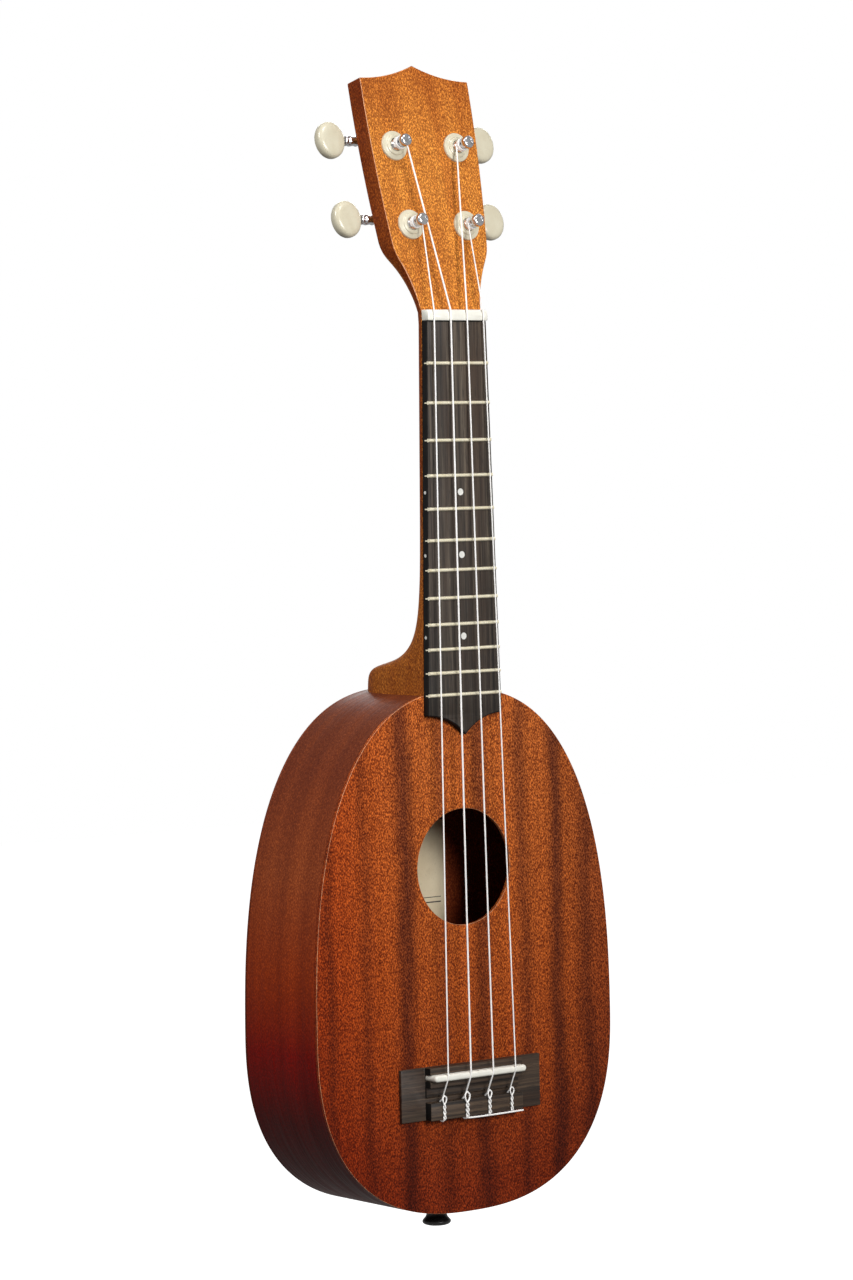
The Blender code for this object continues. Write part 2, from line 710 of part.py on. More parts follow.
def gear_outline():
    """Short trapezoid teeth with one gap straight up, towards the worm."""
    points = []
    pitch = 2 * math.pi / GEAR_TEETH
    flanks = (
        (-0.25, GEAR_ROOT_RADIUS),
        (-0.11, GEAR_TIP_RADIUS),
        (0.11, GEAR_TIP_RADIUS),
        (0.25, GEAR_ROOT_RADIUS),
    )
    for tooth in range(GEAR_TEETH):
        for share, radius in flanks:
            angle = math.pi / 2 + (tooth + 0.5 + share) * pitch
            points.append((radius * math.cos(angle), radius * math.sin(angle)))
    return points


def thread_mesh():
    """The worm's ridge: a right-hand helix about X that passes x = 0 on the side facing the gear."""
    lead = 2 * math.pi * GEAR_PITCH_RADIUS / GEAR_TEETH
    section = (
        (THREAD_ROOT_RADIUS, -THREAD_BASE_HALF),
        (THREAD_TIP_RADIUS, -THREAD_CREST_HALF),
        (THREAD_TIP_RADIUS, THREAD_CREST_HALF),
        (THREAD_ROOT_RADIUS, THREAD_BASE_HALF),
    )
    rings = []
    for i in range(THREAD_TURNS * THREAD_STEPS + 1):
        # The quarter step keeps the ridge's points off the core's own edges.
        turned = 2 * math.pi * ((i + 0.25) / THREAD_STEPS - THREAD_TURNS / 2)
        shift = lead * turned / (2 * math.pi)
        # Angles run from -Z, where the gear is, by the right-hand rule about X.
        ring = [
            (shift + offset, radius * math.sin(turned), -radius * math.cos(turned))
            for radius, offset in section
        ]
        rings.append(ring)
    return loft(rings)


def build_worm(number, side, tuner):
    """The thread, its two journals, the collar and the stub that holds the knob, as one turned shaft."""
    profile = [
        (0.0, KNOB_START + 7.0 * MM),
        (1.3 * MM, KNOB_START + 7.0 * MM),
        (1.3 * MM, KNOB_START - 0.6 * MM),
        (2.2 * MM, KNOB_START - 0.6 * MM),
        (2.4 * MM, KNOB_START - 1.6 * MM),
        (2.0 * MM, KNOB_START - 2.4 * MM),
        (2.5 * MM, KNOB_START - 3.2 * MM),
        (2.5 * MM, 10.5 * MM),
        (1.4 * MM, 9.6 * MM),
        (1.4 * MM, 4.6 * MM),
        (THREAD_CORE_RADIUS, 4.6 * MM),
        (THREAD_CORE_RADIUS, -4.6 * MM),
        (1.4 * MM, -4.6 * MM),
        (1.4 * MM, -7.4 * MM),
        (0.0, -7.4 * MM),
    ]
    mesh = profile_mesh(profile, closed=False)
    place = (0.0, WORM_DEPTH, WORM_RISE)
    shaft = add_part(f"tuner_worm_{number}", mesh, CHROME, tuner, place, (0.0, side * math.pi / 2, 0.0))
    turn_profile(shaft, 12)
    ridge = add_helper(f"thread_{number}", thread_mesh(), tuner, place)
    boolean(shaft, ridge, "UNION")


def build_knob(number, side, tuner):
    """A flat oval button on the end of the worm's shaft."""
    middle = side * (KNOB_START + KNOB_LENGTH / 2)
    outline = []
    for i in range(24):
        angle = 2 * math.pi * i / 24
        outline.append((KNOB_LENGTH / 2 * math.cos(angle), KNOB_HEIGHT / 2 * math.sin(angle)))
    mesh = plate([outline], -KNOB_THICKNESS / 2, KNOB_THICKNESS / 2)
    mesh.transform(Matrix.Translation((middle, 0.0, 0.0)))
    place = (0.0, WORM_DEPTH, WORM_RISE)
    knob = add_part(f"tuner_knob_{number}", mesh, IVORY, tuner, place)
    bevel(knob, 1.6 * MM, 2)
    bore = cylinder_mesh(1.6 * MM, 12.0 * MM, 12)
    start = (side * (KNOB_START + 1.3 * MM), WORM_DEPTH, WORM_RISE)
    cutter = add_helper(f"knob_bore_{number}", bore, tuner, start, (0.0, math.pi / 2, 0.0))
    boolean(knob, cutter, "DIFFERENCE")


def build_post(number, tuner):
    profile = [
        (0.0, 11.0 * MM),
        (1.9 * MM, 10.9 * MM),
        (2.6 * MM, 10.5 * MM),
        (POST_RADIUS, 9.8 * MM),
        (POST_RADIUS, 8.1 * MM),
        (2.3 * MM, 7.4 * MM),
        (2.3 * MM, 3.6 * MM),
        (POST_RADIUS, 2.9 * MM),
        (POST_RADIUS, -11.95 * MM),
        (1.9 * MM, -11.95 * MM),
        (1.9 * MM, -15.7 * MM),
        (0.0, -15.7 * MM),
    ]
    mesh = profile_mesh(profile, closed=False)
    post = add_part(f"tuner_post_{number}", mesh, CHROME, tuner, turn=(math.pi / 2, 0.0, 0.0))
    turn_profile(post, 14)


def build_bushing(number, tuner):
    profile = [
        (3.2 * MM, 1.9 * MM),
        (4.5 * MM, 1.9 * MM),
        (4.9 * MM, 1.3 * MM),
        (6.5 * MM, 1.15 * MM),
        (7.05 * MM, 0.8 * MM),
        (7.05 * MM, GAP),
        (4.25 * MM, GAP),
        (4.25 * MM, -4.0 * MM),
        (3.2 * MM, -4.0 * MM),
    ]
    mesh = profile_mesh(profile, closed=True)
    bushing = add_part(f"tuner_bushing_{number}", mesh, IVORY, tuner, turn=(math.pi / 2, 0.0, 0.0))
    turn_profile(bushing, 18)


def build_gear(number, tuner):
    bore = circle(0.0, 0.0, 1.9 * MM + GAP, 14)
    mesh = plate([gear_outline(), bore], WORM_DEPTH - GEAR_HALF_FACE, WORM_DEPTH + GEAR_HALF_FACE)
    add_part(f"tuner_gear_{number}", mesh, BRASS, tuner)


def build_tuner_plate(number, tuner):
    """The base plate on the headstock's back, with two ears that carry the worm's journals."""
    front = HEAD_THICKNESS + GAP
    rear = front + 1.0 * MM
    outline = [
        (-EAR_OUTER, -9.0 * MM),
        (-4.0 * MM, -11.0 * MM),
        (4.0 * MM, -11.0 * MM),
        (EAR_OUTER, -9.0 * MM),
        (EAR_OUTER, 12.0 * MM),
        (4.0 * MM, 14.0 * MM),
        (-4.0 * MM, 14.0 * MM),
        (-EAR_OUTER, 12.0 * MM),
    ]
    holes = [
        circle(0.0, 0.0, POST_RADIUS + GAP, 14),
        circle(0.0, -8.0 * MM, 1.3 * MM, 8),
        circle(0.0, 11.0 * MM, 1.3 * MM, 8),
    ]
    base = add_part(f"tuner_plate_{number}", plate([outline, *holes], front, rear), CHROME, tuner)
    bore = circle(WORM_DEPTH, WORM_RISE, 1.4 * MM + 0.15 * MM, 12)
    ear = [
        (rear - 0.5 * MM, WORM_RISE - 3.2 * MM),
        (17.0 * MM, WORM_RISE - 3.2 * MM),
        (17.0 * MM, WORM_RISE + 3.2 * MM),
        (rear - 0.5 * MM, WORM_RISE + 3.2 * MM),
    ]
    for name, low in (("left", -EAR_OUTER + 0.01 * MM), ("right", EAR_INNER - 0.01 * MM)):
        mesh = plate([ear, bore], low, low + EAR_OUTER - EAR_INNER)
        mesh.transform(Matrix(((0, 1, 0, 0), (1, 0, 0, 0), (0, 0, 1, 0), (0, 0, 0, 1))))
        mesh.flip_normals()
        helper = add_helper(f"ear_{name}_{number}", mesh, tuner)
        boolean(base, helper, "UNION")


def build_tuners():
    for number, (x, height, _) in enumerate(TUNERS, 1):
        side = math.copysign(1.0, x)
        tuner = new_empty(f"tuner_{number}", HEADSTOCK, (x, 0.0, height))
        build_tuner_plate(number, tuner)
        build_worm(number, side, tuner)
        build_knob(number, side, tuner)
        build_gear(number, tuner)
        build_post(number, tuner)
        build_bushing(number, tuner)


# --- the whole instrument ---

clear_scene()
PARTS = new_collection("pineapple_ukulele")
HELPERS = new_collection("helper_shapes")

MAHOGANY_TOP = new_material("mahogany_top", (0.40, 0.13, 0.04), 0.45)
MAHOGANY_SIDE = new_material("mahogany_side", (0.20, 0.055, 0.03), 0.5)
MAHOGANY_NECK = new_material("mahogany_neck", (0.48, 0.19, 0.06), 0.5)
INNER_WOOD = new_material("inner_wood", (0.55, 0.36, 0.20), 0.7)
ROSEWOOD = new_material("rosewood", (0.06, 0.045, 0.038), 0.55)
BONE = new_material("bone", (0.86, 0.84, 0.76), 0.4)
IVORY = new_material("ivory_plastic", (0.85, 0.82, 0.70), 0.3)
NYLON = new_material("nylon", (0.85, 0.83, 0.80), 0.3)
FRET_METAL = new_material("fret_metal", (0.76, 0.70, 0.52), 0.3, 1.0)
BRASS = new_material("brass", (0.72, 0.52, 0.24), 0.35, 1.0)
CHROME = new_material("chrome", (0.75, 0.75, 0.77), 0.15, 1.0)
BLACK_PLASTIC = new_material("black_plastic", (0.02, 0.02, 0.02), 0.35)

INSTRUMENT = new_empty("instrument", None, -HANGER)
HEADSTOCK = new_empty("headstock", INSTRUMENT, HEAD_FOOT, (-HEAD_TILT, 0.0, 0.0))
PEG_HOLE = add_helper(
    "peg_hole", cylinder_mesh(3.6 * MM, 20.0 * MM, 16), INSTRUMENT, (0.0, BUTTON_Y, BODY_TAIL_Z + 3.0 * MM)
)

build_soundboard()
build_back_plate()
build_sides()
build_blocks()
build_linings()
build_braces()
build_end_button()
build_neck()
build_fretboard()
build_frets()
build_nut()
build_bridge()
build_saddle()
build_strings()
build_tuners()
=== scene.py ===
import math

import bmesh
import bpy
import numpy as np
from mathutils import Matrix, Quaternion, Vector


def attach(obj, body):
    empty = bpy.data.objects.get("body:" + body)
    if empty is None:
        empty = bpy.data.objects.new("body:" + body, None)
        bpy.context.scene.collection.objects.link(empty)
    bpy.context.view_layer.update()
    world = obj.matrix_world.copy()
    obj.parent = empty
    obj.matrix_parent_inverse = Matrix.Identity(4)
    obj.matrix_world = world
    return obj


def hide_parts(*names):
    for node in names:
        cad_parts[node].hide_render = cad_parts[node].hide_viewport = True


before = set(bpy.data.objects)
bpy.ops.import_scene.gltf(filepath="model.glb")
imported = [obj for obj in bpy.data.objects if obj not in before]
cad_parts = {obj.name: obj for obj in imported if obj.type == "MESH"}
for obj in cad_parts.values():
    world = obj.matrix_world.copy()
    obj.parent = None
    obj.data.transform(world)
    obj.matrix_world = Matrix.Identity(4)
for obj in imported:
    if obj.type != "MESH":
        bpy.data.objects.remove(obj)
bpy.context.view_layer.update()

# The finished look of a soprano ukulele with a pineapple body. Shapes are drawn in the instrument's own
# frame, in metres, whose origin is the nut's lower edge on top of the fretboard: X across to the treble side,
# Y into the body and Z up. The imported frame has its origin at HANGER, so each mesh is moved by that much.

MM = 0.001
HANGER = Vector((0.0, 12.0, 16.0)) * MM
TO_WORLD = Matrix.Translation(-HANGER)

# Scale and fretboard
SCALE_LENGTH = 346.0 * MM
FRETS = 12
NUT_HALF_WIDTH = 17.5 * MM
BOARD_HALF_WIDTH = 21.45 * MM
BOARD_THICKNESS = 3.5 * MM
BOARD_CORNER_Z = -182.5 * MM
BOARD_POINT_Z = -192.0 * MM
DOT_SPACES = (5, 7, 10)

# Body
TOP_Y = 3.8 * MM
BODY_TOP_Z = -171.0 * MM
BODY_WIDE_Z = -327.0 * MM
BODY_TAIL_Z = -415.3 * MM
BODY_HALF_WIDTH = 86.7 * MM
BODY_SQUARENESS = 2.48
DEPTH_AT_NECK = 54.0 * MM
DEPTH_AT_TAIL = 60.0 * MM
PLATE_THICKNESS = 2.0 * MM
SIDE_THICKNESS = 2.0 * MM
SOUNDHOLE_Z = -253.7 * MM
SOUNDHOLE_RADIUS = 27.2 * MM
BUTTON_Y = 31.3 * MM
INSIDE_TOP_Y = TOP_Y + PLATE_THICKNESS

# Neck and headstock
HEAD_TILT = math.radians(12.5)
HEAD_FOOT = Vector((0.0, 4.0, 5.0)) * MM
HEAD_THICKNESS = 10.5 * MM
HEAD_SHOULDER = (28.1 * MM, 35.0 * MM)
HEAD_BULGE = (31.9 * MM, 75.0 * MM)
HEAD_CORNER = (31.6 * MM, 111.5 * MM)
HEAD_TIP = 118.3 * MM
NUT_LENGTH = 5.0 * MM
NUT_TOP_Y = -1.2 * MM
# Distance along, depth behind the fretboard and squareness of the section, from the heel up
NECK_STATIONS = (
    (-180.0, 53.0, 5.0), (-170.0, 53.0, 5.0), (-165.0, 52.6, 5.0), (-162.0, 50.6, 4.6),
    (-160.2, 46.5, 4.0), (-158.8, 40.5, 3.5), (-156.8, 32.5, 3.0), (-153.5, 25.8, 2.7),
    (-148.5, 20.3, 2.4), (-141.0, 15.9, 2.2), (-130.0, 12.6, 2.1), (-114.0, 10.8, 2.0),
    (-90.0, 10.5, 2.0), (-60.0, 10.5, 2.0), (-30.0, 10.5, 2.0), (-1.0, 10.5, 2.0),
)
# Height up the headstock, half width and squareness, where the neck widens into the headstock
SHOULDER_STATIONS = (
    (0.3, 17.5, 2.1), (5.0, 18.2, 2.2), (10.5, 19.6, 2.5), (16.0, 21.5, 3.0), (20.5, 23.4, 3.8),
    (24.0, 25.2, 5.0), (26.5, 26.4, 7.0), (29.0, 27.3, 11.0), (32.0, 27.8, 22.0),
    (35.0, 28.1, 50.0),
)

# Bridge and saddle
BRIDGE_HALF_WIDTH = 41.0 * MM
BRIDGE_TOP_Z = -345.1 * MM
BRIDGE_LOW_Z = -369.7 * MM
WING_Y = 2.0 * MM
BLOCK_HALF_WIDTH = 27.2 * MM
BLOCK_Y = -2.3 * MM
STEP_Y = 0.9 * MM
SADDLE_Z = -349.9 * MM
SADDLE_HALF_THICKNESS = 1.55 * MM
SADDLE_TOP_Y = -6.0 * MM
STEP_TOP_Z = -354.5 * MM
CHANNEL_TOP_Z = -359.2 * MM
TIE_BLOCK_Z = -361.4 * MM
TIE_HOLE_Y = 0.3 * MM
TIE_HOLE_RADIUS = 0.9 * MM

# The painted shade on the neck's flanks grows from the first of these heights to the second
FLANK_FADE_LOW_Z = -145.0 * MM
FLANK_FADE_HIGH_Z = -95.0 * MM

# Strings, from the bass side to the treble side
STRING_RADII = (0.34 * MM, 0.42 * MM, 0.38 * MM, 0.32 * MM)
STRING_GAP_AT_NUT = 9.57 * MM
STRING_GAP_AT_SADDLE = 13.3 * MM

# Tuners, as (post's X, height up the headstock, string's height above the face)
TUNERS = (
    (-15.8 * MM, 41.0 * MM, 5.6 * MM),
    (-18.2 * MM, 78.8 * MM, 6.4 * MM),
    (18.2 * MM, 78.8 * MM, 4.2 * MM),
    (16.8 * MM, 41.0 * MM, 5.2 * MM),
)
POST_RADIUS = 2.9 * MM
POST_WAIST_RADIUS = 2.3 * MM
WORM_RISE = 6.1 * MM
WORM_DEPTH = 14.0 * MM
GEAR_TEETH = 14
GEAR_PITCH_RADIUS = 4.25 * MM
GEAR_TIP_RADIUS = 4.6 * MM
GEAR_ROOT_RADIUS = 3.8 * MM
GEAR_HALF_FACE = 1.2 * MM
KNOB_START = 18.3 * MM
KNOB_LENGTH = 15.0 * MM
KNOB_HEIGHT = 17.5 * MM
KNOB_THICKNESS = 6.5 * MM
EAR_INNER = 5.4 * MM
EAR_OUTER = 6.6 * MM

ROOT = "instrument"

HEAD_TURN = Matrix.Rotation(-HEAD_TILT, 4, "X")
# Turns a shape drawn on X and Y, or about Z, to face the front
LIE_BACK = Matrix.Rotation(math.pi / 2, 4, "X")
SWAP_X_AND_Y = Matrix(((0, 1, 0, 0), (1, 0, 0, 0), (0, 0, 1, 0), (0, 0, 0, 1)))


# --- shader nodes ---


def add_node(tree, kind, inputs=None, **settings):
    """A node with its settings, and its inputs linked or set."""
    node = tree.nodes.new("ShaderNode" + kind)
    for key, value in settings.items():
        setattr(node, key, value)
    for key, value in (inputs or {}).items():
        if isinstance(value, bpy.types.NodeSocket):
            tree.links.new(value, node.inputs[key])
        else:
            node.inputs[key].default_value = value
    return node


def noise(tree, coords, scale, detail=2.0, offset=(0.0, 0.0, 0.0)):
    """A value from 0 to 1 that varies at the given rate per metre along each axis."""
    mapping = add_node(tree, "Mapping", {"Vector": coords, "Location": offset, "Scale": scale})
    inputs = {"Vector": mapping.outputs[0], "Scale": 1.0, "Detail": detail, "Roughness": 0.55}
    return add_node(tree, "TexNoise", inputs).outputs["Fac"]


def ramp(tree, value, stops, smooth=False):
    """A colour ramp. Each stop is (position, grey or colour), lowest first."""
    node = add_node(tree, "ValToRGB", {"Fac": value})
    node.color_ramp.interpolation = "EASE" if smooth else "LINEAR"
    elements = node.color_ramp.elements
    elements.remove(elements[1])
    elements[0].position = stops[0][0]
    for position, _ in stops[1:]:
        elements.new(position)
    for element, (_, colour) in zip(elements, stops):
        element.color = (*colour, 1.0) if isinstance(colour, tuple) else (colour, colour, colour, 1.0)
    return node.outputs["Color"]


def rise(tree, value, low, high, top=1.0):
    """0 up to low, and from there up to top at high."""
    return ramp(tree, value, ((low, 0.0), (high, top)))


def mix(tree, factor, first, second, blend="MIX"):
    node = add_node(tree, "Mix", data_type="RGBA", blend_type=blend)
    for index, value in ((0, factor), (6, first), (7, second)):
        if isinstance(value, bpy.types.NodeSocket):
            tree.links.new(value, node.inputs[index])
        elif isinstance(value, tuple):
            node.inputs[index].default_value = (*value, 1.0)
        else:
            node.inputs[index].default_value = value
    return node.outputs[2]


def math_node(tree, operation, first, second):
    node = add_node(tree, "Math", operation=operation)
    for index, value in enumerate((first, second)):
        if isinstance(value, bpy.types.NodeSocket):
            tree.links.new(value, node.inputs[index])
        else:
            node.inputs[index].default_value = value
    return node.outputs[0]


def add_bump(tree, shader, height, strength, distance):
    inputs = {"Height": height, "Strength": strength, "Distance": distance}
    bump = add_node(tree, "Bump", inputs)
    tree.links.new(bump.outputs["Normal"], shader.inputs["Normal"])


def new_material(name, **sockets):
    """A material, its tree and its Principled shader with the given sockets set."""
    material = bpy.data.materials.new(name)
    material.use_nodes = True
    tree = material.node_tree
    shader = tree.nodes["Principled BSDF"]
    for key, value in sockets.items():
        shader.inputs[key.replace("_", " ")].default_value = value
    return material, tree, shader


def object_coords(tree):
    return add_node(tree, "TexCoord").outputs["Object"]


def grain_coords(tree, source):
    """Coordinates whose third axis runs along the wood's fibres."""
    if source == "strip":
        return add_node(tree, "Attribute", attribute_name="grain").outputs["Vector"]
    place = object_coords(tree)
    if source == "level":
        turned = add_node(tree, "Mapping", {"Vector": place, "Rotation": (0.0, math.pi / 2, 0.0)})
        return turned.outputs[0]
    return place


def varied_roughness(tree, shader, value, low, high):
    spread = ramp(tree, value, ((0.2, low), (0.8, high)))
    tree.links.new(spread, shader.inputs["Roughness"])


# --- materials ---


def tinted_along_axis(tree, colour, axis, tints):
    """Deepens a colour along an object axis, and brightens it where a multiplier is over 1; the soundboard's
    and the sides' tints are painted shade and painted light. Each tint is (place in metres, multiplier),
    lowest first.
    """
    low, high = tints[0][0], tints[-1][0]
    along = add_node(tree, "SeparateXYZ", {"Vector": object_coords(tree)}).outputs[axis]
    span = add_node(tree, "MapRange", {"Value": along, "From Min": low, "From Max": high})
    stops = [((at - low) / (high - low), tint) for at, tint in tints]
    return mix(tree, 1.0, colour, ramp(tree, span.outputs["Result"], stops), "MULTIPLY")


def painted_flank_shade(tree, colour, tint):
    """Painted shade: deepens the colour where a face above the heel looks sideways."""
    coords = add_node(tree, "TexCoord")
    across = add_node(tree, "SeparateXYZ", {"Vector": coords.outputs["Normal"]}).outputs["X"]
    height = add_node(tree, "SeparateXYZ", {"Vector": coords.outputs["Object"]}).outputs["Z"]
    sideways = rise(tree, math_node(tree, "ABSOLUTE", across, 0.0), 0.75, 0.90)
    span = {"Value": height, "From Min": FLANK_FADE_LOW_Z, "From Max": FLANK_FADE_HIGH_Z}
    above = add_node(tree, "MapRange", span).outputs["Result"]
    deeper = mix(tree, 1.0, colour, tint, "MULTIPLY")
    return mix(tree, math_node(tree, "MULTIPLY", sideways, above), colour, deeper)


def mahogany(name, bright, dark, source="upright", seed=0.0, speckle=1.0, roughness=0.45, sheen=0.2, **figure_and_tints):
    """Ribbon-figured mahogany: broad bands, fine fibres, flecks and short dark pores.

    It may have bands (see band_figure), height tints and edges (tints by Z and by X) and flanks (a tint). The
    tints by Z and by X on the soundboard and the sides are painted shade and painted light, and the flank
    tint is painted shade.
    """
    material, tree, shader = new_material(name, Specular_IOR_Level=sheen)
    coords = grain_coords(tree, source)
    offset = (seed, 2.0 * seed, 0.0)
    if "bands" in figure_and_tints:
        figure = band_figure(tree, coords, figure_and_tints["bands"])
    else:
        figure = rise(tree, noise(tree, coords, (85.0, 60.0, 2.2), 2.0, offset), 0.36, 0.64)
    streak = rise(tree, noise(tree, coords, (260.0, 260.0, 5.0), 3.0, offset), 0.3, 0.7)
    figure = mix(tree, 0.16, figure, streak)
    fibre = rise(tree, noise(tree, coords, (900.0, 900.0, 30.0), 3.0, offset), 0.3, 0.7)
    figure = mix(tree, 0.14, figure, fibre)
    colour = mix(tree, figure, dark, bright)
    flecks = noise(tree, coords, (2050.0, 2050.0, 1000.0), 1.0, offset)
    dull = tuple(1.0 - loss * speckle for loss in (0.64, 0.76, 0.78))
    lit = tuple(1.0 + gain * speckle for gain in (1.30, 1.65, 1.30))
    flecks = ramp(tree, flecks, ((0.33, dull), (0.5, (0.90, 0.88, 0.85)), (0.68, lit)))
    colour = mix(tree, 1.0, colour, flecks, "MULTIPLY")
    pores = rise(tree, noise(tree, coords, (3000.0, 3000.0, 260.0), 2.0, offset), 0.60, 0.70)
    colour = mix(tree, math_node(tree, "MULTIPLY", pores, 0.35), colour, tuple(0.4 * c for c in dark))
    # Tints by height and across: painted shade and painted light on the soundboard and the sides
    if "burst" in figure_and_tints:
        colour = tinted_along_axis(tree, colour, "Z", figure_and_tints["burst"])
    if "edges" in figure_and_tints:
        colour = tinted_along_axis(tree, colour, "X", figure_and_tints["edges"])
    # Painted shade on faces that look sideways
    if "flanks" in figure_and_tints:
        colour = painted_flank_shade(tree, colour, figure_and_tints["flanks"])
    tree.links.new(colour, shader.inputs["Base Color"])
    varied_roughness(tree, shader, fibre, roughness - 0.06, roughness + 0.10)
    relief = math_node(tree, "SUBTRACT", math_node(tree, "MULTIPLY", fibre, 0.25), pores)
    add_bump(tree, shader, relief, 0.2, 0.04 * MM)
    return material


def band_figure(tree, coords, bands):
    """0 in each dark ribbon and 1 between. A band is (middle, half width, darkness), in millimetres."""
    split = add_node(tree, "SeparateXYZ", {"Vector": coords})
    across = split.outputs["X"]
    for scale, reach in (((12.0, 0.0, 9.0), 15.0 * MM), ((90.0, 0.0, 34.0), 6.0 * MM)):
        sway = math_node(tree, "SUBTRACT", noise(tree, coords, scale), 0.5)
        across = math_node(tree, "ADD", across, math_node(tree, "MULTIPLY", sway, reach))
    span = 2 * BODY_HALF_WIDTH
    place = math_node(tree, "ADD", math_node(tree, "DIVIDE", across, span), 0.5)
    stops = []
    for middle, half, darkness in bands:
        for edge, grey in ((-half, 1.0), (0.0, 1.0 - darkness), (half, 1.0)):
            stops.append(((middle + edge) * MM / span + 0.5, grey))
    return ramp(tree, place, stops, smooth=True)


ROSEWOOD_TONES = (
    (0.32, (0.014, 0.011, 0.009)),
    (0.45, (0.046, 0.037, 0.031)),
    (0.56, (0.085, 0.071, 0.058)),
    (0.68, (0.150, 0.128, 0.104)),
)


def rosewood(name, source, tone, fade=None):
    """Open-grained dark wood with grey, brown and nearly black streaks."""
    material, tree, shader = new_material(name, Coat_Weight=0.05, Specular_IOR_Level=0.35)
    coords = grain_coords(tree, source)
    streaks = noise(tree, coords, (900.0, 700.0, 14.0), 4.0)
    colour = ramp(tree, streaks, ROSEWOOD_TONES)
    tint = noise(tree, coords, (160.0, 120.0, 10.0), 2.0, (3.0, 0.0, 0.0))
    colour = mix(tree, rise(tree, tint, 0.45, 0.7, 0.5), colour, (0.060, 0.032, 0.018))
    pores = rise(tree, noise(tree, coords, (2400.0, 2400.0, 130.0), 2.0), 0.58, 0.66)
    colour = mix(tree, math_node(tree, "MULTIPLY", pores, 0.7), colour, (0.008, 0.006, 0.005))
    colour = mix(tree, 1.0, colour, tone, "MULTIPLY")
    if fade:
        colour = tinted_along_axis(tree, colour, "Z", fade)
    tree.links.new(colour, shader.inputs["Base Color"])
    varied_roughness(tree, shader, streaks, 0.42, 0.62)
    relief = math_node(tree, "SUBTRACT", math_node(tree, "MULTIPLY", streaks, 0.4), pores)
    add_bump(tree, shader, relief, 0.4, 0.1 * MM)
    return material


def bare_wood(name, source):
    """Unfinished inner wood with straight pale grain."""
    material, tree, shader = new_material(name)
    coords = grain_coords(tree, source)
    grain = noise(tree, coords, (420.0, 420.0, 9.0), 4.0)
    tones = ((0.3, (0.20, 0.11, 0.06)), (0.55, (0.31, 0.19, 0.11)), (0.75, (0.42, 0.28, 0.17)))
    colour = ramp(tree, grain, tones)
    tree.links.new(colour, shader.inputs["Base Color"])
    varied_roughness(tree, shader, grain, 0.65, 0.85)
    add_bump(tree, shader, grain, 0.3, 0.1 * MM)
    return material


def moulded(name, colour, shade, roughness, **sockets):
    """Plastic or bone: a faint mottle, and a surface that is not quite even."""
    material, tree, shader = new_material(name, **sockets)
    coords = object_coords(tree)
    mottle = noise(tree, coords, (260.0, 260.0, 180.0), 3.0)
    mottled = mix(tree, rise(tree, mottle, 0.35, 0.7), colour, shade)
    tree.links.new(mottled, shader.inputs["Base Color"])
    wear = noise(tree, coords, (900.0, 900.0, 900.0), 3.0, (5.0, 0.0, 0.0))
    varied_roughness(tree, shader, wear, roughness - 0.05, roughness + 0.08)
    add_bump(tree, shader, wear, 0.06, 0.05 * MM)
    return material


def plated(name, colour, shade, roughness, metallic=1.0):
    """Polished or plated metal with fine rubbing marks."""
    material, tree, shader = new_material(name, Metallic=metallic)
    coords = object_coords(tree)
    tarnish = noise(tree, coords, (500.0, 500.0, 500.0), 3.0)
    tarnished = mix(tree, rise(tree, tarnish, 0.4, 0.75), colour, shade)
    tree.links.new(tarnished, shader.inputs["Base Color"])
    rubbing = noise(tree, coords, (3000.0, 600.0, 3000.0), 2.0)
    varied_roughness(tree, shader, rubbing, roughness - 0.04, roughness + 0.12)
    add_bump(tree, shader, rubbing, 0.05, 0.02 * MM)
    return material


def label_paper(name):
    """Cream paper, clouded with a darker tone, with faint fibres."""
    material, tree, shader = new_material(name)
    coords = object_coords(tree)
    cloud = noise(tree, coords, (45.0, 45.0, 45.0), 4.0)
    colour = ramp(tree, cloud, ((0.35, (0.70, 0.57, 0.37)), (0.65, (0.86, 0.74, 0.52))))
    fibre = noise(tree, coords, (1800.0, 1800.0, 900.0), 2.0)
    colour = mix(tree, rise(tree, fibre, 0.6, 0.72, 0.25), colour, (0.36, 0.28, 0.17))
    tree.links.new(colour, shader.inputs["Base Color"])
    varied_roughness(tree, shader, fibre, 0.7, 0.9)
    add_bump(tree, shader, fibre, 0.2, 0.05 * MM)
    return material


# --- meshes ---


def shaded(mesh, angle):
    """Shades the mesh smooth but for the corners over the angle, in degrees."""
    mesh.shade_smooth()
    mesh.set_sharp_from_angle(angle=math.radians(angle))
    return mesh


def finished(bm, angle=35.0):
    """The bmesh as a mesh, facing out, smooth but for its corners."""
    bmesh.ops.recalc_face_normals(bm, faces=bm.faces)
    mesh = bpy.data.meshes.new("shape")
    bm.to_mesh(mesh)
    bm.free()
    return shaded(mesh, angle)


def piece(name, mesh, material, body, replaced=(), place=TO_WORLD, second=None):
    """A visible piece in its place, riding on its body. Faces marked 1 take the second material."""
    mesh.transform(place)
    obj = bpy.data.objects.new(name, mesh)
    bpy.context.scene.collection.objects.link(obj)
    obj.data.materials.append(material)
    if second:
        obj.data.materials.append(second)
    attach(obj, body)
    if replaced:
        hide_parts(*replaced)
    return obj


def mark_faces(mesh, chosen):
    """Gives the second material to each face for which chosen(normal, middle) is true."""
    for polygon in mesh.polygons:
        polygon.material_index = int(chosen(polygon.normal, polygon.center))


def temporary(mesh):
    obj = bpy.data.objects.new("temporary", mesh)
    bpy.context.scene.collection.objects.link(obj)
    return obj


def baked(obj):
    """The object's mesh with its modifiers applied. The object is removed."""
    bpy.context.view_layer.update()
    graph = bpy.context.evaluated_depsgraph_get()
    mesh = bpy.data.meshes.new_from_object(obj.evaluated_get(graph))
    bpy.data.objects.remove(obj, do_unlink=True)
    return mesh


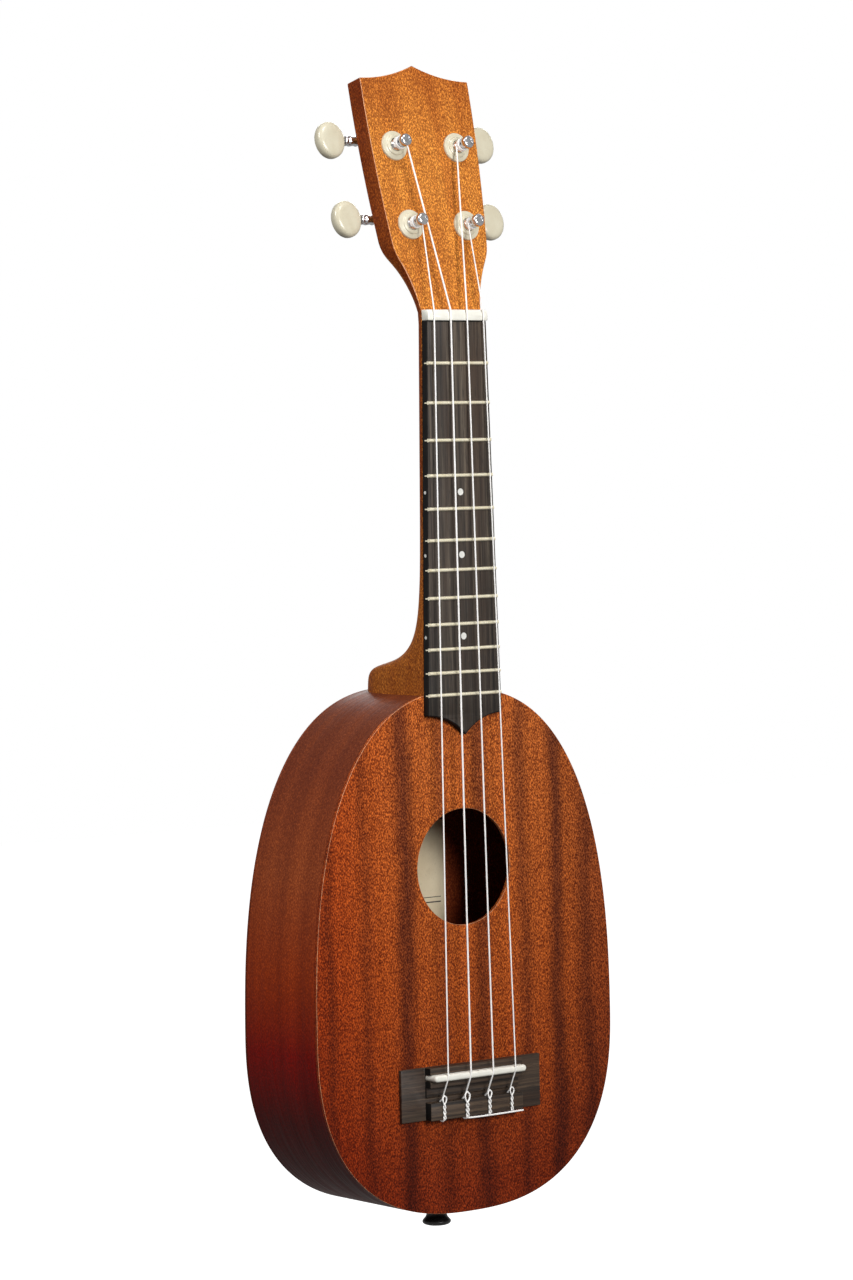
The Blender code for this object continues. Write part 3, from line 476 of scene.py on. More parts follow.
def boolean(mesh, cutters, operation="DIFFERENCE"):
    """The mesh with each cutter taken away or joined on."""
    obj = temporary(mesh)
    others = [temporary(cutter) for cutter in cutters]
    for other in others:
        modifier = obj.modifiers.new("cut", "BOOLEAN")
        modifier.operation = operation
        modifier.solver = "EXACT"
        modifier.object = other
    result = baked(obj)
    for other in others:
        bpy.data.objects.remove(other, do_unlink=True)
    result.materials.clear()
    return result


def without_seams(mesh):
    """The mesh with the edges inside its flat faces dissolved."""
    bm = bmesh.new()
    bm.from_mesh(mesh)
    bmesh.ops.remove_doubles(bm, verts=bm.verts, dist=1e-6)
    bmesh.ops.dissolve_limit(bm, angle_limit=0.01, verts=bm.verts, edges=bm.edges)
    return finished(bm)


def rounded(mesh, width, segments=3, angle=35.0):
    """The mesh with its corners rounded, and flat faces that stay flat to the eye."""
    obj = temporary(mesh)
    for polygon in mesh.polygons:
        polygon.use_smooth = True
    modifier = obj.modifiers.new("edges", "BEVEL")
    modifier.width = width
    modifier.segments = segments
    modifier.limit_method = "ANGLE"
    modifier.angle_limit = math.radians(angle)
    modifier.harden_normals = True
    return baked(obj)


def plate(outlines, front, back):
    """The filled outlines, each a list of (x, z), from Y = front to Y = back."""
    curve = bpy.data.curves.new("outline", "CURVE")
    curve.dimensions = "2D"
    curve.fill_mode = "BOTH"
    curve.extrude = (back - front) / 2
    for points in outlines:
        spline = curve.splines.new("POLY")
        spline.points.add(len(points) - 1)
        for point, (x, z) in zip(spline.points, points):
            point.co = (x, z, 0.0, 1.0)
        spline.use_cyclic_u = True
    flat = baked(temporary(curve))
    bpy.data.curves.remove(curve)
    bm = bmesh.new()
    bm.from_mesh(flat)
    bmesh.ops.remove_doubles(bm, verts=bm.verts, dist=1e-7)
    bmesh.ops.dissolve_limit(bm, angle_limit=0.001, verts=bm.verts, edges=bm.edges)
    mesh = finished(bm)
    mesh.transform(Matrix.Translation((0.0, (front + back) / 2, 0.0)) @ LIE_BACK)
    return mesh


def bar_along_x(profile, half_length):
    """A closed (y, z) profile drawn out along X, the same each way from the middle."""
    bm = bmesh.new()
    rows = [[bm.verts.new((x, y, z)) for y, z in profile] for x in (-half_length, half_length)]
    for i in range(len(profile)):
        j = (i + 1) % len(profile)
        bm.faces.new((rows[0][i], rows[0][j], rows[1][j], rows[1][i]))
    bm.faces.new(rows[0])
    bm.faces.new(rows[1])
    return finished(bm)


def box(low, high):
    bm = bmesh.new()
    low, high = Vector(low), Vector(high)
    place = Matrix.Translation((low + high) / 2) @ Matrix.Diagonal((*(high - low), 1.0))
    bmesh.ops.create_cube(bm, size=1.0, matrix=place)
    return finished(bm)


def add_cylinder(bm, radius, length, steps, place):
    size = {"radius1": radius, "radius2": radius, "depth": length}
    bmesh.ops.create_cone(bm, cap_ends=True, segments=steps, matrix=place, **size)


def cylinder(radius, length, steps=32):
    """A cylinder along Z, centred."""
    bm = bmesh.new()
    add_cylinder(bm, radius, length, steps, Matrix())
    return finished(bm)


def loft(rings, caps=True):
    """A surface through rings that have the same number of points, with a face over each end."""
    bm = bmesh.new()
    rows = [[bm.verts.new(point) for point in ring] for ring in rings]
    count = len(rows[0])
    for lower, upper in zip(rows, rows[1:]):
        for i in range(count):
            j = (i + 1) % count
            bm.faces.new((lower[i], lower[j], upper[j], upper[i]))
    if caps:
        bm.faces.new(rows[0])
        bm.faces.new(rows[-1])
    return bm


def turned(profile, steps=48, ring=False):
    """A (radius, height) profile in millimetres turned about Z, from axis to axis unless it is a ring."""
    bm = bmesh.new()
    rows = []
    for radius, height in profile:
        radius, height = radius * MM, height * MM
        if radius < 1e-6:
            rows.append([bm.verts.new((0.0, 0.0, height))])
            continue
        rows.append([bm.verts.new((x, y, height)) for x, y in circle(0.0, 0.0, radius, steps)])
    pairs = list(zip(rows, rows[1:]))
    if ring:
        pairs.append((rows[-1], rows[0]))
    for lower, upper in pairs:
        below, above = len(lower), len(upper)
        for i in range(steps):
            j = (i + 1) % steps
            corners = [lower[i % below], lower[j % below], upper[j % above], upper[i % above]]
            bm.faces.new(list(dict.fromkeys(corners)))
    return finished(bm)


def round_corners(points, radius, steps=3, closed=False):
    """The polyline with each corner cut by a short arc."""
    made = []
    last = len(points) - 1
    for i, point in enumerate(points):
        if not closed and i in (0, last):
            made.append(tuple(point))
            continue
        here = Vector(point)
        before, after = Vector(points[i - 1]) - here, Vector(points[(i + 1) % len(points)]) - here
        reach = min(radius, 0.45 * before.length, 0.45 * after.length)
        start, end = here + before.normalized() * reach, here + after.normalized() * reach
        for k in range(steps + 1):
            t = k / steps
            made.append(tuple(start * (1 - t) ** 2 + here * (2 * t * (1 - t)) + end * t**2))
    return made


def tube(name, paths, radius, resolution=3):
    """Round strands along paths, as one mesh with closed ends."""
    curve = bpy.data.curves.new(name, "CURVE")
    curve.dimensions = "3D"
    curve.bevel_depth = radius
    curve.bevel_resolution = resolution
    curve.use_fill_caps = True
    for path in paths:
        spline = curve.splines.new("POLY")
        spline.points.add(len(path) - 1)
        for point, place in zip(spline.points, path):
            point.co = (*place, 1.0)
    mesh = baked(temporary(curve))
    bpy.data.curves.remove(curve)
    bm = bmesh.new()
    bm.from_mesh(mesh)
    bmesh.ops.remove_doubles(bm, verts=bm.verts, dist=1e-7)
    return finished(bm, 60.0)


def smooth_path(points, per_span=6):
    """A Catmull-Rom curve through the points."""
    points = [Vector(p) for p in points]
    ends = [2 * points[0] - points[1], *points, 2 * points[-1] - points[-2]]
    path = []
    for p0, p1, p2, p3 in zip(ends, ends[1:], ends[2:], ends[3:]):
        for k in range(per_span):
            t = k / per_span
            square = 2 * p0 - 5 * p1 + 4 * p2 - p3
            cube = 3 * p1 - p0 - 3 * p2 + p3
            path.append(0.5 * (2 * p1 + (p2 - p0) * t + square * t**2 + cube * t**3))
    return path + [points[-1]]


# --- the body ---


def half_outline(inset=0.0, count=150):
    """The treble half of the body's outline from top to tail, moved in by inset, as arrays of x and z."""
    angle = np.linspace(0.0, math.pi, 12 * count)
    power = 2.0 / BODY_SQUARENESS
    across = np.sin(angle).clip(0.0) ** power
    along = np.sign(np.cos(angle)) * np.abs(np.cos(angle)) ** power
    length = np.where(along > 0, BODY_TOP_Z - BODY_WIDE_Z, BODY_WIDE_Z - BODY_TAIL_Z)
    normal_x = across ** (BODY_SQUARENESS - 1) / BODY_HALF_WIDTH
    normal_z = np.sign(along) * np.abs(along) ** (BODY_SQUARENESS - 1) / length
    size = np.hypot(normal_x, normal_z)
    x = BODY_HALF_WIDTH * across
    z = BODY_WIDE_Z + length * along
    travelled = np.concatenate([[0.0], np.cumsum(np.hypot(np.diff(x), np.diff(z)))])
    stations = np.linspace(0.0, travelled[-1], count)
    x = np.interp(stations, travelled, x - inset * normal_x / size)
    z = np.interp(stations, travelled, z - inset * normal_z / size)
    x[0] = x[-1] = 0.0
    return x, z, stations


def full_outline(inset=0.0, count=150):
    x, z, _ = half_outline(inset, count)
    half = list(zip(x.tolist(), z.tolist()))
    return half + [(-px, pz) for px, pz in half[1:-1]][::-1]


def back_y(z):
    slope = (DEPTH_AT_TAIL - DEPTH_AT_NECK) / (BODY_TOP_Z - BODY_TAIL_Z)
    return TOP_Y + DEPTH_AT_NECK + slope * (BODY_TOP_Z - z)


def circle(x, z, radius, steps=96):
    angles = [2 * math.pi * i / steps for i in range(steps)]
    return [(x + radius * math.cos(a), z + radius * math.sin(a)) for a in angles]


def build_soundboard():
    outlines = [full_outline(), circle(0.0, SOUNDHOLE_Z, SOUNDHOLE_RADIUS)]
    mesh = rounded(plate(outlines, TOP_Y, INSIDE_TOP_Y - 0.02 * MM), 0.5 * MM)
    # The rounded edge's faces take a lighter mahogany: a painted highlight
    mark_faces(mesh, lambda normal, middle: -0.95 < normal.y < -0.3)
    piece("soundboard_top", mesh, TOP_WOOD, ROOT, ["soundboard"], second=EDGE_PAINTED_HIGHLIGHT)


def build_back():
    mesh = plate([full_outline()], 0.0, PLATE_THICKNESS - 0.02 * MM)
    for vertex in mesh.vertices:
        vertex.co.y += back_y(vertex.co.z) - PLATE_THICKNESS + 0.02 * MM
    piece("back_wood", rounded(mesh, 0.7 * MM), SIDE_WOOD, ROOT, ["back_plate"])


def build_sides():
    """Each side is a bent strip whose fibres follow the bend."""
    outer_x, outer_z, travelled = half_outline()
    inner_x, inner_z, _ = half_outline(SIDE_THICKNESS)
    for name, sign in (("bass", -1.0), ("treble", 1.0)):
        rings, grain = [], []
        for ox, oz, ix, iz, far in zip(outer_x, outer_z, inner_x, inner_z, travelled):
            rear = back_y(oz) - PLATE_THICKNESS
            outer_ys = np.linspace(INSIDE_TOP_Y, rear, 5).tolist()
            ring = [(sign * ox, y, oz) for y in outer_ys]
            rings.append(ring + [(sign * ix, y, iz) for y in outer_ys[::-1]])
            grain += [(y, 0.0, sign * far) for y in outer_ys]
            grain += [(y, 0.01, sign * far) for y in outer_ys[::-1]]
        mesh = finished(loft(rings))
        attribute = mesh.attributes.new("grain", "FLOAT_VECTOR", "POINT")
        attribute.data.foreach_set("vector", np.array(grain, np.float32).ravel())
        piece("side_wood_" + name, mesh, BENT_WOOD, ROOT, ["side_" + name])


def build_label():
    """A paper label on the inside of the back, under the soundhole, with ruled lines and no lettering."""
    middle = -264.0 * MM
    half_width, half_height = 30.0 * MM, 28.0 * MM
    outline = round_corners(
        [(-half_width, middle - half_height), (half_width, middle - half_height)]
        + [(half_width, middle + half_height), (-half_width, middle + half_height)],
        2.5 * MM,
        closed=True,
    )
    mesh = plate([outline], 0.0, 0.15 * MM)
    for vertex in mesh.vertices:
        vertex.co.y += back_y(vertex.co.z) - PLATE_THICKNESS - 0.17 * MM
    piece("label_paper", mesh, PAPER, ROOT)
    bars = bmesh.new()
    for z, thickness in ((-273.4 * MM, 0.35 * MM), (-275.8 * MM, 0.6 * MM)):
        place = Matrix.Translation((0.0, back_y(z) - PLATE_THICKNESS - 0.19 * MM, z))
        size = Matrix.Diagonal((2 * half_width - 5.0 * MM, 0.06 * MM, thickness, 1.0))
        bmesh.ops.create_cube(bars, size=1.0, matrix=place @ size)
    piece("label_rules", finished(bars), INK, ROOT)


def build_end_button():
    profile = [
        (0.0, 12.0), (2.8, 12.0), (3.2, 0.3), (5.5, 0.0), (5.35, -0.5), (4.85, -1.5), (4.6, -2.6),
        (4.6, -3.8), (4.85, -5.0), (5.4, -6.2), (6.2, -7.1), (6.7, -7.7), (6.8, -8.2), (6.65, -8.8),
        (6.1, -9.35), (5.0, -9.75), (3.4, -9.95), (0.0, -10.0),
    ]
    mesh = turned(profile, 64)
    place = TO_WORLD @ Matrix.Translation((0.0, BUTTON_Y, BODY_TAIL_Z))
    piece("strap_button", mesh, BLACK, ROOT, ["end_button"], place)


# --- neck, fretboard, nut and frets ---


def board_half_width(z):
    return NUT_HALF_WIDTH + (BOARD_HALF_WIDTH - NUT_HALF_WIDTH) * -z / (SCALE_LENGTH / 2)


def fret_z(number):
    return -SCALE_LENGTH * (1.0 - 2.0 ** (-number / 12.0))


def on_headstock(x, depth, height):
    inward = Vector((0.0, math.cos(HEAD_TILT), -math.sin(HEAD_TILT)))
    up = Vector((0.0, math.sin(HEAD_TILT), math.cos(HEAD_TILT)))
    return HEAD_FOOT + Vector((x, 0.0, 0.0)) + depth * inward + height * up


SECTION_STEPS = 48


def section(half_width, front_round, depth, squareness, shrink=0.0):
    """A closed (x, depth) section: over the rounded back from right to left, then along the flat front."""
    half_width -= shrink
    back, front = [], []
    for i in range(SECTION_STEPS + 1):
        cosine = math.cos(math.pi * i / SECTION_STEPS)
        bulge = max(1.0 - abs(cosine) ** squareness, 0.0) ** (1.0 / squareness)
        x = half_width * cosine
        over = max(abs(x) - (half_width - front_round), 0.0)
        near = front_round - math.sqrt(max(front_round**2 - over**2, 0.0)) + shrink
        front.append((x, near))
        back.append((x, max(depth * bulge - shrink, near)))
    return back + front[1:-1][::-1]


def smoothed(stations, per_span=4, passes=6):
    """Stations filled in evenly and rounded off, with both ends kept."""
    table = np.array(stations, float)
    index = np.linspace(0.0, len(table) - 1.0, (len(table) - 1) * per_span + 1)
    dense = np.stack([np.interp(index, np.arange(len(table)), column) for column in table.T], axis=1)
    for _ in range(passes):
        dense[1:-1] = (dense[:-2] + 2 * dense[1:-1] + dense[2:]) / 4
    return dense.tolist()


def head_side(height):
    """The headstock's half width at a height above its shoulders."""
    t = np.linspace(0.0, 1.0, 60)
    bend = [(1 - t) ** 2, 2 * t * (1 - t), t**2]
    corners = (HEAD_SHOULDER, HEAD_BULGE, HEAD_CORNER)
    x = sum(w * corner[0] for w, corner in zip(bend, corners))
    z = sum(w * corner[1] for w, corner in zip(bend, corners))
    return float(np.interp(height, z, x))


def crown_height(x):
    """The crown's two arcs rise from the corners to a point in the middle."""
    peak = HEAD_TIP - HEAD_CORNER[1]
    radius = (HEAD_CORNER[0] ** 2 + peak**2) / (2 * peak)
    run = max(HEAD_CORNER[0] - abs(x), 0.0)
    return HEAD_CORNER[1] + radius - math.sqrt(radius**2 - run**2)


def build_neck():
    edge = 0.5 * MM
    rings = []
    for z, depth, squareness in smoothed(NECK_STATIONS):
        z, depth = z * MM, depth * MM
        shape = section(board_half_width(z), 0.05 * MM, depth, squareness)
        rings.append([(x, TOP_Y + d, z) for x, d in shape])
    for height, half_width, squareness in smoothed(SHOULDER_STATIONS, 3, 2):
        shape = section(half_width * MM, min(height / 8.0 + 0.05, 1.0) * edge, HEAD_THICKNESS, squareness)
        rings.append([on_headstock(x, d, height * MM) for x, d in shape])
    start = HEAD_SHOULDER[1]
    levels = [(v, 0.0) for v in np.linspace(0.03, 1.0, 22).tolist()]
    levels += [(1.0, math.radians(a)) for a in (30.0, 60.0, 90.0)]
    for level, turn in levels:
        side = head_side(start + level * (HEAD_CORNER[1] - start))
        shape = section(side, edge, HEAD_THICKNESS, 50.0, edge * (1 - math.cos(turn)))
        ring = []
        for x, d in shape:
            top = crown_height(x) - edge + edge * math.sin(turn)
            ring.append(on_headstock(x, d, start + level * (top - start)))
        rings.append(ring)
    bm = loft(rings, caps=False)
    bm.verts.ensure_lookup_table()
    count = 2 * SECTION_STEPS
    last = len(bm.verts) - count
    bm.faces.new([bm.verts[i] for i in range(count)])
    for i in range(SECTION_STEPS):
        corners = [last + i, last + i + 1, last + (count - i - 1) % count, last + (count - i) % count]
        bm.faces.new([bm.verts[k] for k in dict.fromkeys(corners)])
    cutters = [plate([full_outline(0.0, 100)], -20.0 * MM, 80.0 * MM)]
    for x, height, _ in TUNERS:
        hole = cylinder(4.4 * MM, 40.0 * MM)
        hole.transform(Matrix.Translation(on_headstock(x, HEAD_THICKNESS / 2, height)) @ HEAD_TURN @ LIE_BACK)
        cutters.append(hole)
    mesh = shaded(boolean(finished(bm), cutters), 32.0)
    outward = on_headstock(0.0, -1.0, 0.0) - HEAD_FOOT
    # The headstock's rounded edges take a lighter mahogany: a painted highlight
    mark_faces(mesh, lambda normal, middle: 0.3 < normal.dot(outward) < 0.93 and middle.z > NUT_LENGTH)
    piece("neck_wood", mesh, NECK_WOOD, ROOT, ["neck"], second=EDGE_PAINTED_HIGHLIGHT)


def board_outline(grow=0.0):
    corner = board_half_width(BOARD_CORNER_Z)
    drop = BOARD_CORNER_Z - BOARD_POINT_Z
    radius = (corner**2 + drop**2) / (2 * drop)
    half = [(NUT_HALF_WIDTH + grow, 0.25 * MM)]
    for i in range(25):
        run = corner * i / 24
        half.append((corner - run, BOARD_CORNER_Z - radius + math.sqrt(radius**2 - run**2)))
    return half + [(-x, z) for x, z in half[:-1]][::-1]


def build_fretboard():
    mesh = rounded(plate([board_outline()], 0.0, BOARD_THICKNESS + 0.28 * MM), 0.55 * MM, 3)
    slots = bmesh.new()
    for number in range(1, FRETS + 1):
        size = Matrix.Diagonal((0.1, 4.0 * MM, 0.6 * MM, 1.0))
        bmesh.ops.create_cube(slots, size=1.0, matrix=Matrix.Translation((0.0, 0.0, fret_z(number))) @ size)
    mesh = shaded(boolean(mesh, [finished(slots)]), 30.0)
    # Every face but the top is black: the board's sides are black, and the black on the rounded edge round
    # its end is painted shade for the shadow beneath
    mark_faces(mesh, lambda normal, middle: normal.y > -0.97)
    piece("fretboard_wood", mesh, BOARD_WOOD, ROOT, ["fretboard"], second=BLACK_EDGE_AND_SHADE)


def build_frets():
    """Each fret has a domed crown, with ends filed at a slant, on a tang that fills its slot."""
    half_crown = 0.8 * MM
    crown = []
    for i in range(13):
        angle = math.pi * i / 12
        crown.append((-1.0 * MM * math.sin(angle) - 0.02 * MM, -half_crown * math.cos(angle)))
    profile = crown + [(0.02 * MM, half_crown), (0.02 * MM, 0.28 * MM), (1.9 * MM, 0.28 * MM)]
    profile += [(1.9 * MM, -0.28 * MM), (0.02 * MM, -0.28 * MM), (0.02 * MM, -half_crown)]
    for number in range(1, FRETS + 1):
        z = fret_z(number)
        half = board_half_width(z) + 0.02 * MM
        rings = []
        for side in (-1.0, 1.0):
            ring = []
            for y, along in profile:
                slant = 0.55 * max(-y, 0.0)
                ring.append((side * (half - slant), y, z + along))
            rings.append(ring)
        name = f"fret_{number:02d}"
        piece("crowned_" + name, finished(loft(rings), 40.0), FRET_METAL, ROOT, [name])


def string_x(number, gap):
    return (number - 1.5) * gap


def build_nut():
    """A bone bar whose top falls away towards the headstock, with a slot for each string."""
    half = NUT_HALF_WIDTH - 0.05 * MM
    profile = [
        (TOP_Y - 0.1 * MM, 0.27 * MM),
        (NUT_TOP_Y - 0.1 * MM, 0.27 * MM),
        (NUT_TOP_Y - 0.25 * MM, 2.2 * MM),
        (NUT_TOP_Y + 0.3 * MM, 4.6 * MM),
        (NUT_TOP_Y + 0.9 * MM, 5.3 * MM),
        (TOP_Y + 0.15 * MM, 5.3 * MM),
    ]
    mesh = rounded(bar_along_x(profile, half), 0.4 * MM, 3, 20.0)
    slots = []
    for number, radius in enumerate(STRING_RADII):
        x = string_x(number, STRING_GAP_AT_NUT)
        y = NUT_TOP_Y - radius
        route = [(x, y + 0.1 * MM, -3.0 * MM), (x, y - 0.3 * MM, 5.3 * MM)]
        route.append((x * 0.99, NUT_TOP_Y + 1.0 * MM, 12.0 * MM))
        slots.append(tube("groove", [route], radius + 0.08 * MM))
    piece("bone_nut", shaded(boolean(mesh, slots), 35.0), BONE, ROOT, ["nut"])


def add_dots():
    """Front dots on the centre line, and small dots on the bass side of the fretboard."""
    front, side = bmesh.new(), bmesh.new()
    for space in DOT_SPACES:
        z = (fret_z(space) + fret_z(space - 1)) / 2
        face = Matrix.Translation((0.0, 0.0, z)) @ LIE_BACK
        edge = Matrix.Translation((-board_half_width(z), 1.8 * MM, z)) @ Matrix.Rotation(math.pi / 2, 4, "Y")
        add_cylinder(front, 1.6 * MM, 0.06 * MM, 40, face)
        add_cylinder(side, 0.8 * MM, 0.1 * MM, 28, edge)
    piece("front_dots", finished(front), PEARL, ROOT)
    piece("side_dots", finished(side), PEARL, ROOT)


# --- bridge, saddle and strings ---


def with_grain_along_x(mesh):
    """Stores coordinates whose third axis is X, so that the fibres run across the instrument."""
    attribute = mesh.attributes.new("grain", "FLOAT_VECTOR", "POINT")
    turned_points = [value for vertex in mesh.vertices for value in (vertex.co.z, vertex.co.y, vertex.co.x)]
    attribute.data.foreach_set("vector", turned_points)
    return mesh


def build_bridge():
    profile = [
        (TOP_Y - 0.5 * MM, BRIDGE_TOP_Z),
        (BLOCK_Y, BRIDGE_TOP_Z),
        (BLOCK_Y, STEP_TOP_Z),
        (STEP_Y, STEP_TOP_Z),
        (STEP_Y, CHANNEL_TOP_Z),
        (WING_Y + 0.1 * MM, CHANNEL_TOP_Z),
        (WING_Y + 0.1 * MM, TIE_BLOCK_Z),
        (BLOCK_Y, TIE_BLOCK_Z),
        (BLOCK_Y, BRIDGE_LOW_Z),
        (TOP_Y - 0.5 * MM, BRIDGE_LOW_Z),
    ]
    high_corner = (BRIDGE_HALF_WIDTH, TOP_Y - 0.01 * MM, BRIDGE_TOP_Z)
    wings = box((-BRIDGE_HALF_WIDTH, WING_Y, BRIDGE_LOW_Z), high_corner)
    mesh = boolean(wings, [bar_along_x(profile, BLOCK_HALF_WIDTH)], "UNION")
    mesh = rounded(without_seams(mesh), 0.3 * MM)
    slot_half = SADDLE_HALF_THICKNESS + 0.05 * MM
    low_corner = (-0.05, BLOCK_Y - 10 * MM, SADDLE_Z - slot_half)
    cutters = [box(low_corner, (0.05, WING_Y - 0.2 * MM, SADDLE_Z + slot_half))]
    for number in range(4):
        hole = cylinder(TIE_HOLE_RADIUS, 14.0 * MM, 24)
        place = (string_x(number, STRING_GAP_AT_SADDLE), TIE_HOLE_Y, (TIE_BLOCK_Z + BRIDGE_LOW_Z) / 2)
        hole.transform(Matrix.Translation(place))
        cutters.append(hole)
    mesh = with_grain_along_x(shaded(boolean(mesh, cutters), 25.0))
    block_end = BLOCK_HALF_WIDTH + 0.5 * MM
    # The block's end walls are black: painted shade where they face away from the light
    mark_faces(mesh, lambda normal, middle: abs(normal.x) > 0.9 and abs(middle.x) < block_end)
    piece("bridge_wood", mesh, BRIDGE_WOOD, ROOT, ["bridge"], second=BLACK_EDGE_AND_SHADE)


def build_saddle():
    """A bone bar with round ends and a round top."""
    full = SADDLE_HALF_THICKNESS
    straight = BLOCK_HALF_WIDTH - 0.2 * MM - full
    levels = [(WING_Y - 0.2 * MM, full), (SADDLE_TOP_Y + 1.1 * MM, full)]
    for i in range(1, 7):
        angle = math.pi / 2 * i / 6
        drop, inset = (1.1 * MM * (1 - turn(angle)) for turn in (math.sin, math.cos))
        levels.append((SADDLE_TOP_Y + drop, full - inset))
    rings = []
    for y, radius in levels:
        half = []
        for i in range(17):
            angle = math.pi * (i / 16 - 0.5)
            half.append((straight + radius * math.cos(angle), y, SADDLE_Z + radius * math.sin(angle)))
        rings.append(half + [(-x, y, z) for x, y, z in half][::-1])
    piece("bone_saddle", finished(loft(rings), 50.0), BONE, ROOT, ["saddle"])


def knot_path(x, radius, eye, tail):
    """Out of the tie hole, up to an eye round the string, and back down twisted with itself."""
    lay = BLOCK_Y - radius
    top, low = TIE_BLOCK_Z + 1.0 * MM, BRIDGE_LOW_Z + 0.6 * MM
    swing = 1.25 * radius
    start = [
        (x, TIE_HOLE_Y, BRIDGE_LOW_Z - 0.1 * MM),
        (x - 0.1 * MM, -0.6 * MM, BRIDGE_LOW_Z - 0.7 * MM),
        (x - 0.2 * MM, lay + 0.5 * MM, BRIDGE_LOW_Z - 0.5 * MM),
    ]
    twists = 1.5
    up, down = [], []
    for i in range(13):
        t = i / 12
        angle = 2 * math.pi * twists * t
        z = low + (top - 1.3 * eye - low) * t
        across, out = swing * math.cos(angle), swing * math.sin(angle)
        up.append((x - across, lay - swing + out, z))
        down.append((x + across, lay - swing - out, z))
    eye_path = [
        (x + 0.9 * eye, lay - 0.4 * MM, top - 0.5 * eye),
        (x + eye, lay - 0.4 * MM, top + 0.8 * eye),
        (x - 0.1 * eye, lay - 0.5 * MM, top + 1.75 * eye),
        (x - eye, lay - 0.6 * MM, top + 0.8 * eye),
        (x - 0.9 * eye, lay - 0.7 * MM, top - 0.5 * eye),
    ]
    return smooth_path(start + up + eye_path + down[::-1] + tail, 4)


def build_strings():
    """Each string runs from its post over nut and saddle and through the tie block, and is knotted there."""
    for number, radius in enumerate(STRING_RADII):
        low_x = string_x(number, STRING_GAP_AT_SADDLE)
        nut_x = string_x(number, STRING_GAP_AT_NUT)
        post_x, height, lift = TUNERS[number]
        inward = -math.copysign(POST_WAIST_RADIUS + radius, post_x)
        nut = Vector((nut_x, NUT_TOP_Y - radius - 0.3 * MM, NUT_LENGTH))
        saddle = Vector((low_x, SADDLE_TOP_Y - radius, SADDLE_Z))
        post = on_headstock(post_x + inward, -lift, height)
        hole = Vector((low_x, TIE_HOLE_Y, TIE_BLOCK_Z + 0.2 * MM))
        drawn_up = Vector((low_x, BLOCK_Y + 0.9 * MM, TIE_BLOCK_Z + 1.5 * MM))
        end = Vector((low_x, TIE_HOLE_Y, BRIDGE_LOW_Z - 0.1 * MM))
        bends = []
        for before, here, after in ((drawn_up, saddle, nut), (saddle, nut, post)):
            toward, away = (before - here).normalized(), (after - here).normalized()
            middle = here + (toward + away) * 0.12 * MM
            bends.append([here + toward * 1.3 * MM, middle, here + away * 1.3 * MM])
        main = [end, hole, drawn_up, *bends[0], *bends[1], post]
        edge = (low_x + 0.15 * MM, BLOCK_Y + 0.6 * MM, BRIDGE_LOW_Z - 0.45 * MM)
        tail = [edge, (low_x + 0.3 * MM, TIE_HOLE_Y + 0.4 * MM, BRIDGE_LOW_Z - 0.5 * MM)]
        if number == 1:
            reach = string_x(3, STRING_GAP_AT_SADDLE) + 7.0 * MM
            lay_y, lay_z = BLOCK_Y - 0.1 * MM, BRIDGE_LOW_Z - 0.5 * MM
            sag = ((low_x + reach) / 2, lay_y + 0.2 * MM, lay_z - 0.2 * MM)
            tail = [(low_x + 1.2 * MM, lay_y, lay_z), sag, (reach, lay_y, lay_z)]
        eye = 1.4 * MM if number == 1 else 1.1 * MM
        mesh = tube("string", [main, knot_path(low_x, radius, eye, tail)], radius)
        name = f"string_{number + 1}"
        piece("nylon_" + name, mesh, GLOWING_NYLON, ROOT, [name])


def build_windings():
    """The turns of string round each post, which turn with it."""
    for number, radius in enumerate(STRING_RADII):
        post_x, height, lift = TUNERS[number]
        inner = 0.0 if post_x < 0 else math.pi
        spread = POST_WAIST_RADIUS + radius
        turns = 2.6
        drop = 2 * radius + 0.05 * MM
        # A string that meets its post high up is wound downwards from there, and a low one upwards
        direction = 1.0 if lift > 5.0 * MM else -1.0
        path = []
        for i in range(int(40 * turns) + 1):
            turned_by = 2 * math.pi * i / 40
            angle = inner + turned_by
            over_face = lift - direction * drop * i / 40
            across, up = spread * math.cos(angle), spread * math.sin(angle)
            path.append(on_headstock(post_x + across, -over_face, height + up))
        mesh = tube("winding", [path], radius)
        piece(f"winding_{number + 1}", mesh, GLOWING_NYLON, f"post_{number + 1}")


# --- tuners ---



def tuner_place(number):
    """The headstock's own directions, centred on a post's axis at the face."""
    x, height, _ = TUNERS[number]
    return TO_WORLD @ Matrix.Translation(on_headstock(x, 0.0, height)) @ HEAD_TURN


def helix_thread():
    """The worm: a right-hand ridge on a core, about X."""
    lead = 2 * math.pi * GEAR_PITCH_RADIUS / GEAR_TEETH
    profile = [(1.3, -0.67), (2.0, -0.12), (2.05, 0.0), (2.0, 0.12), (1.3, 0.67)]
    steps, turns = 36, 4
    rings = []
    for i in range(steps * turns + 1):
        angle = 2 * math.pi * (i / steps - turns / 2)
        fade = min(1.0, (turns / 2 - abs(i / steps - turns / 2)) * 4 + 0.05)
        ring = []
        for radius, offset in [(0.9, -0.67), *profile, (0.9, 0.67)]:
            radius = (1.25 + (radius - 1.25) * fade if radius > 1.0 else radius) * MM
            x = lead * angle / (2 * math.pi) + offset * fade * MM
            ring.append((x, radius * math.sin(angle), -radius * math.cos(angle)))
        rings.append(ring)
    return finished(loft(rings), 60.0)


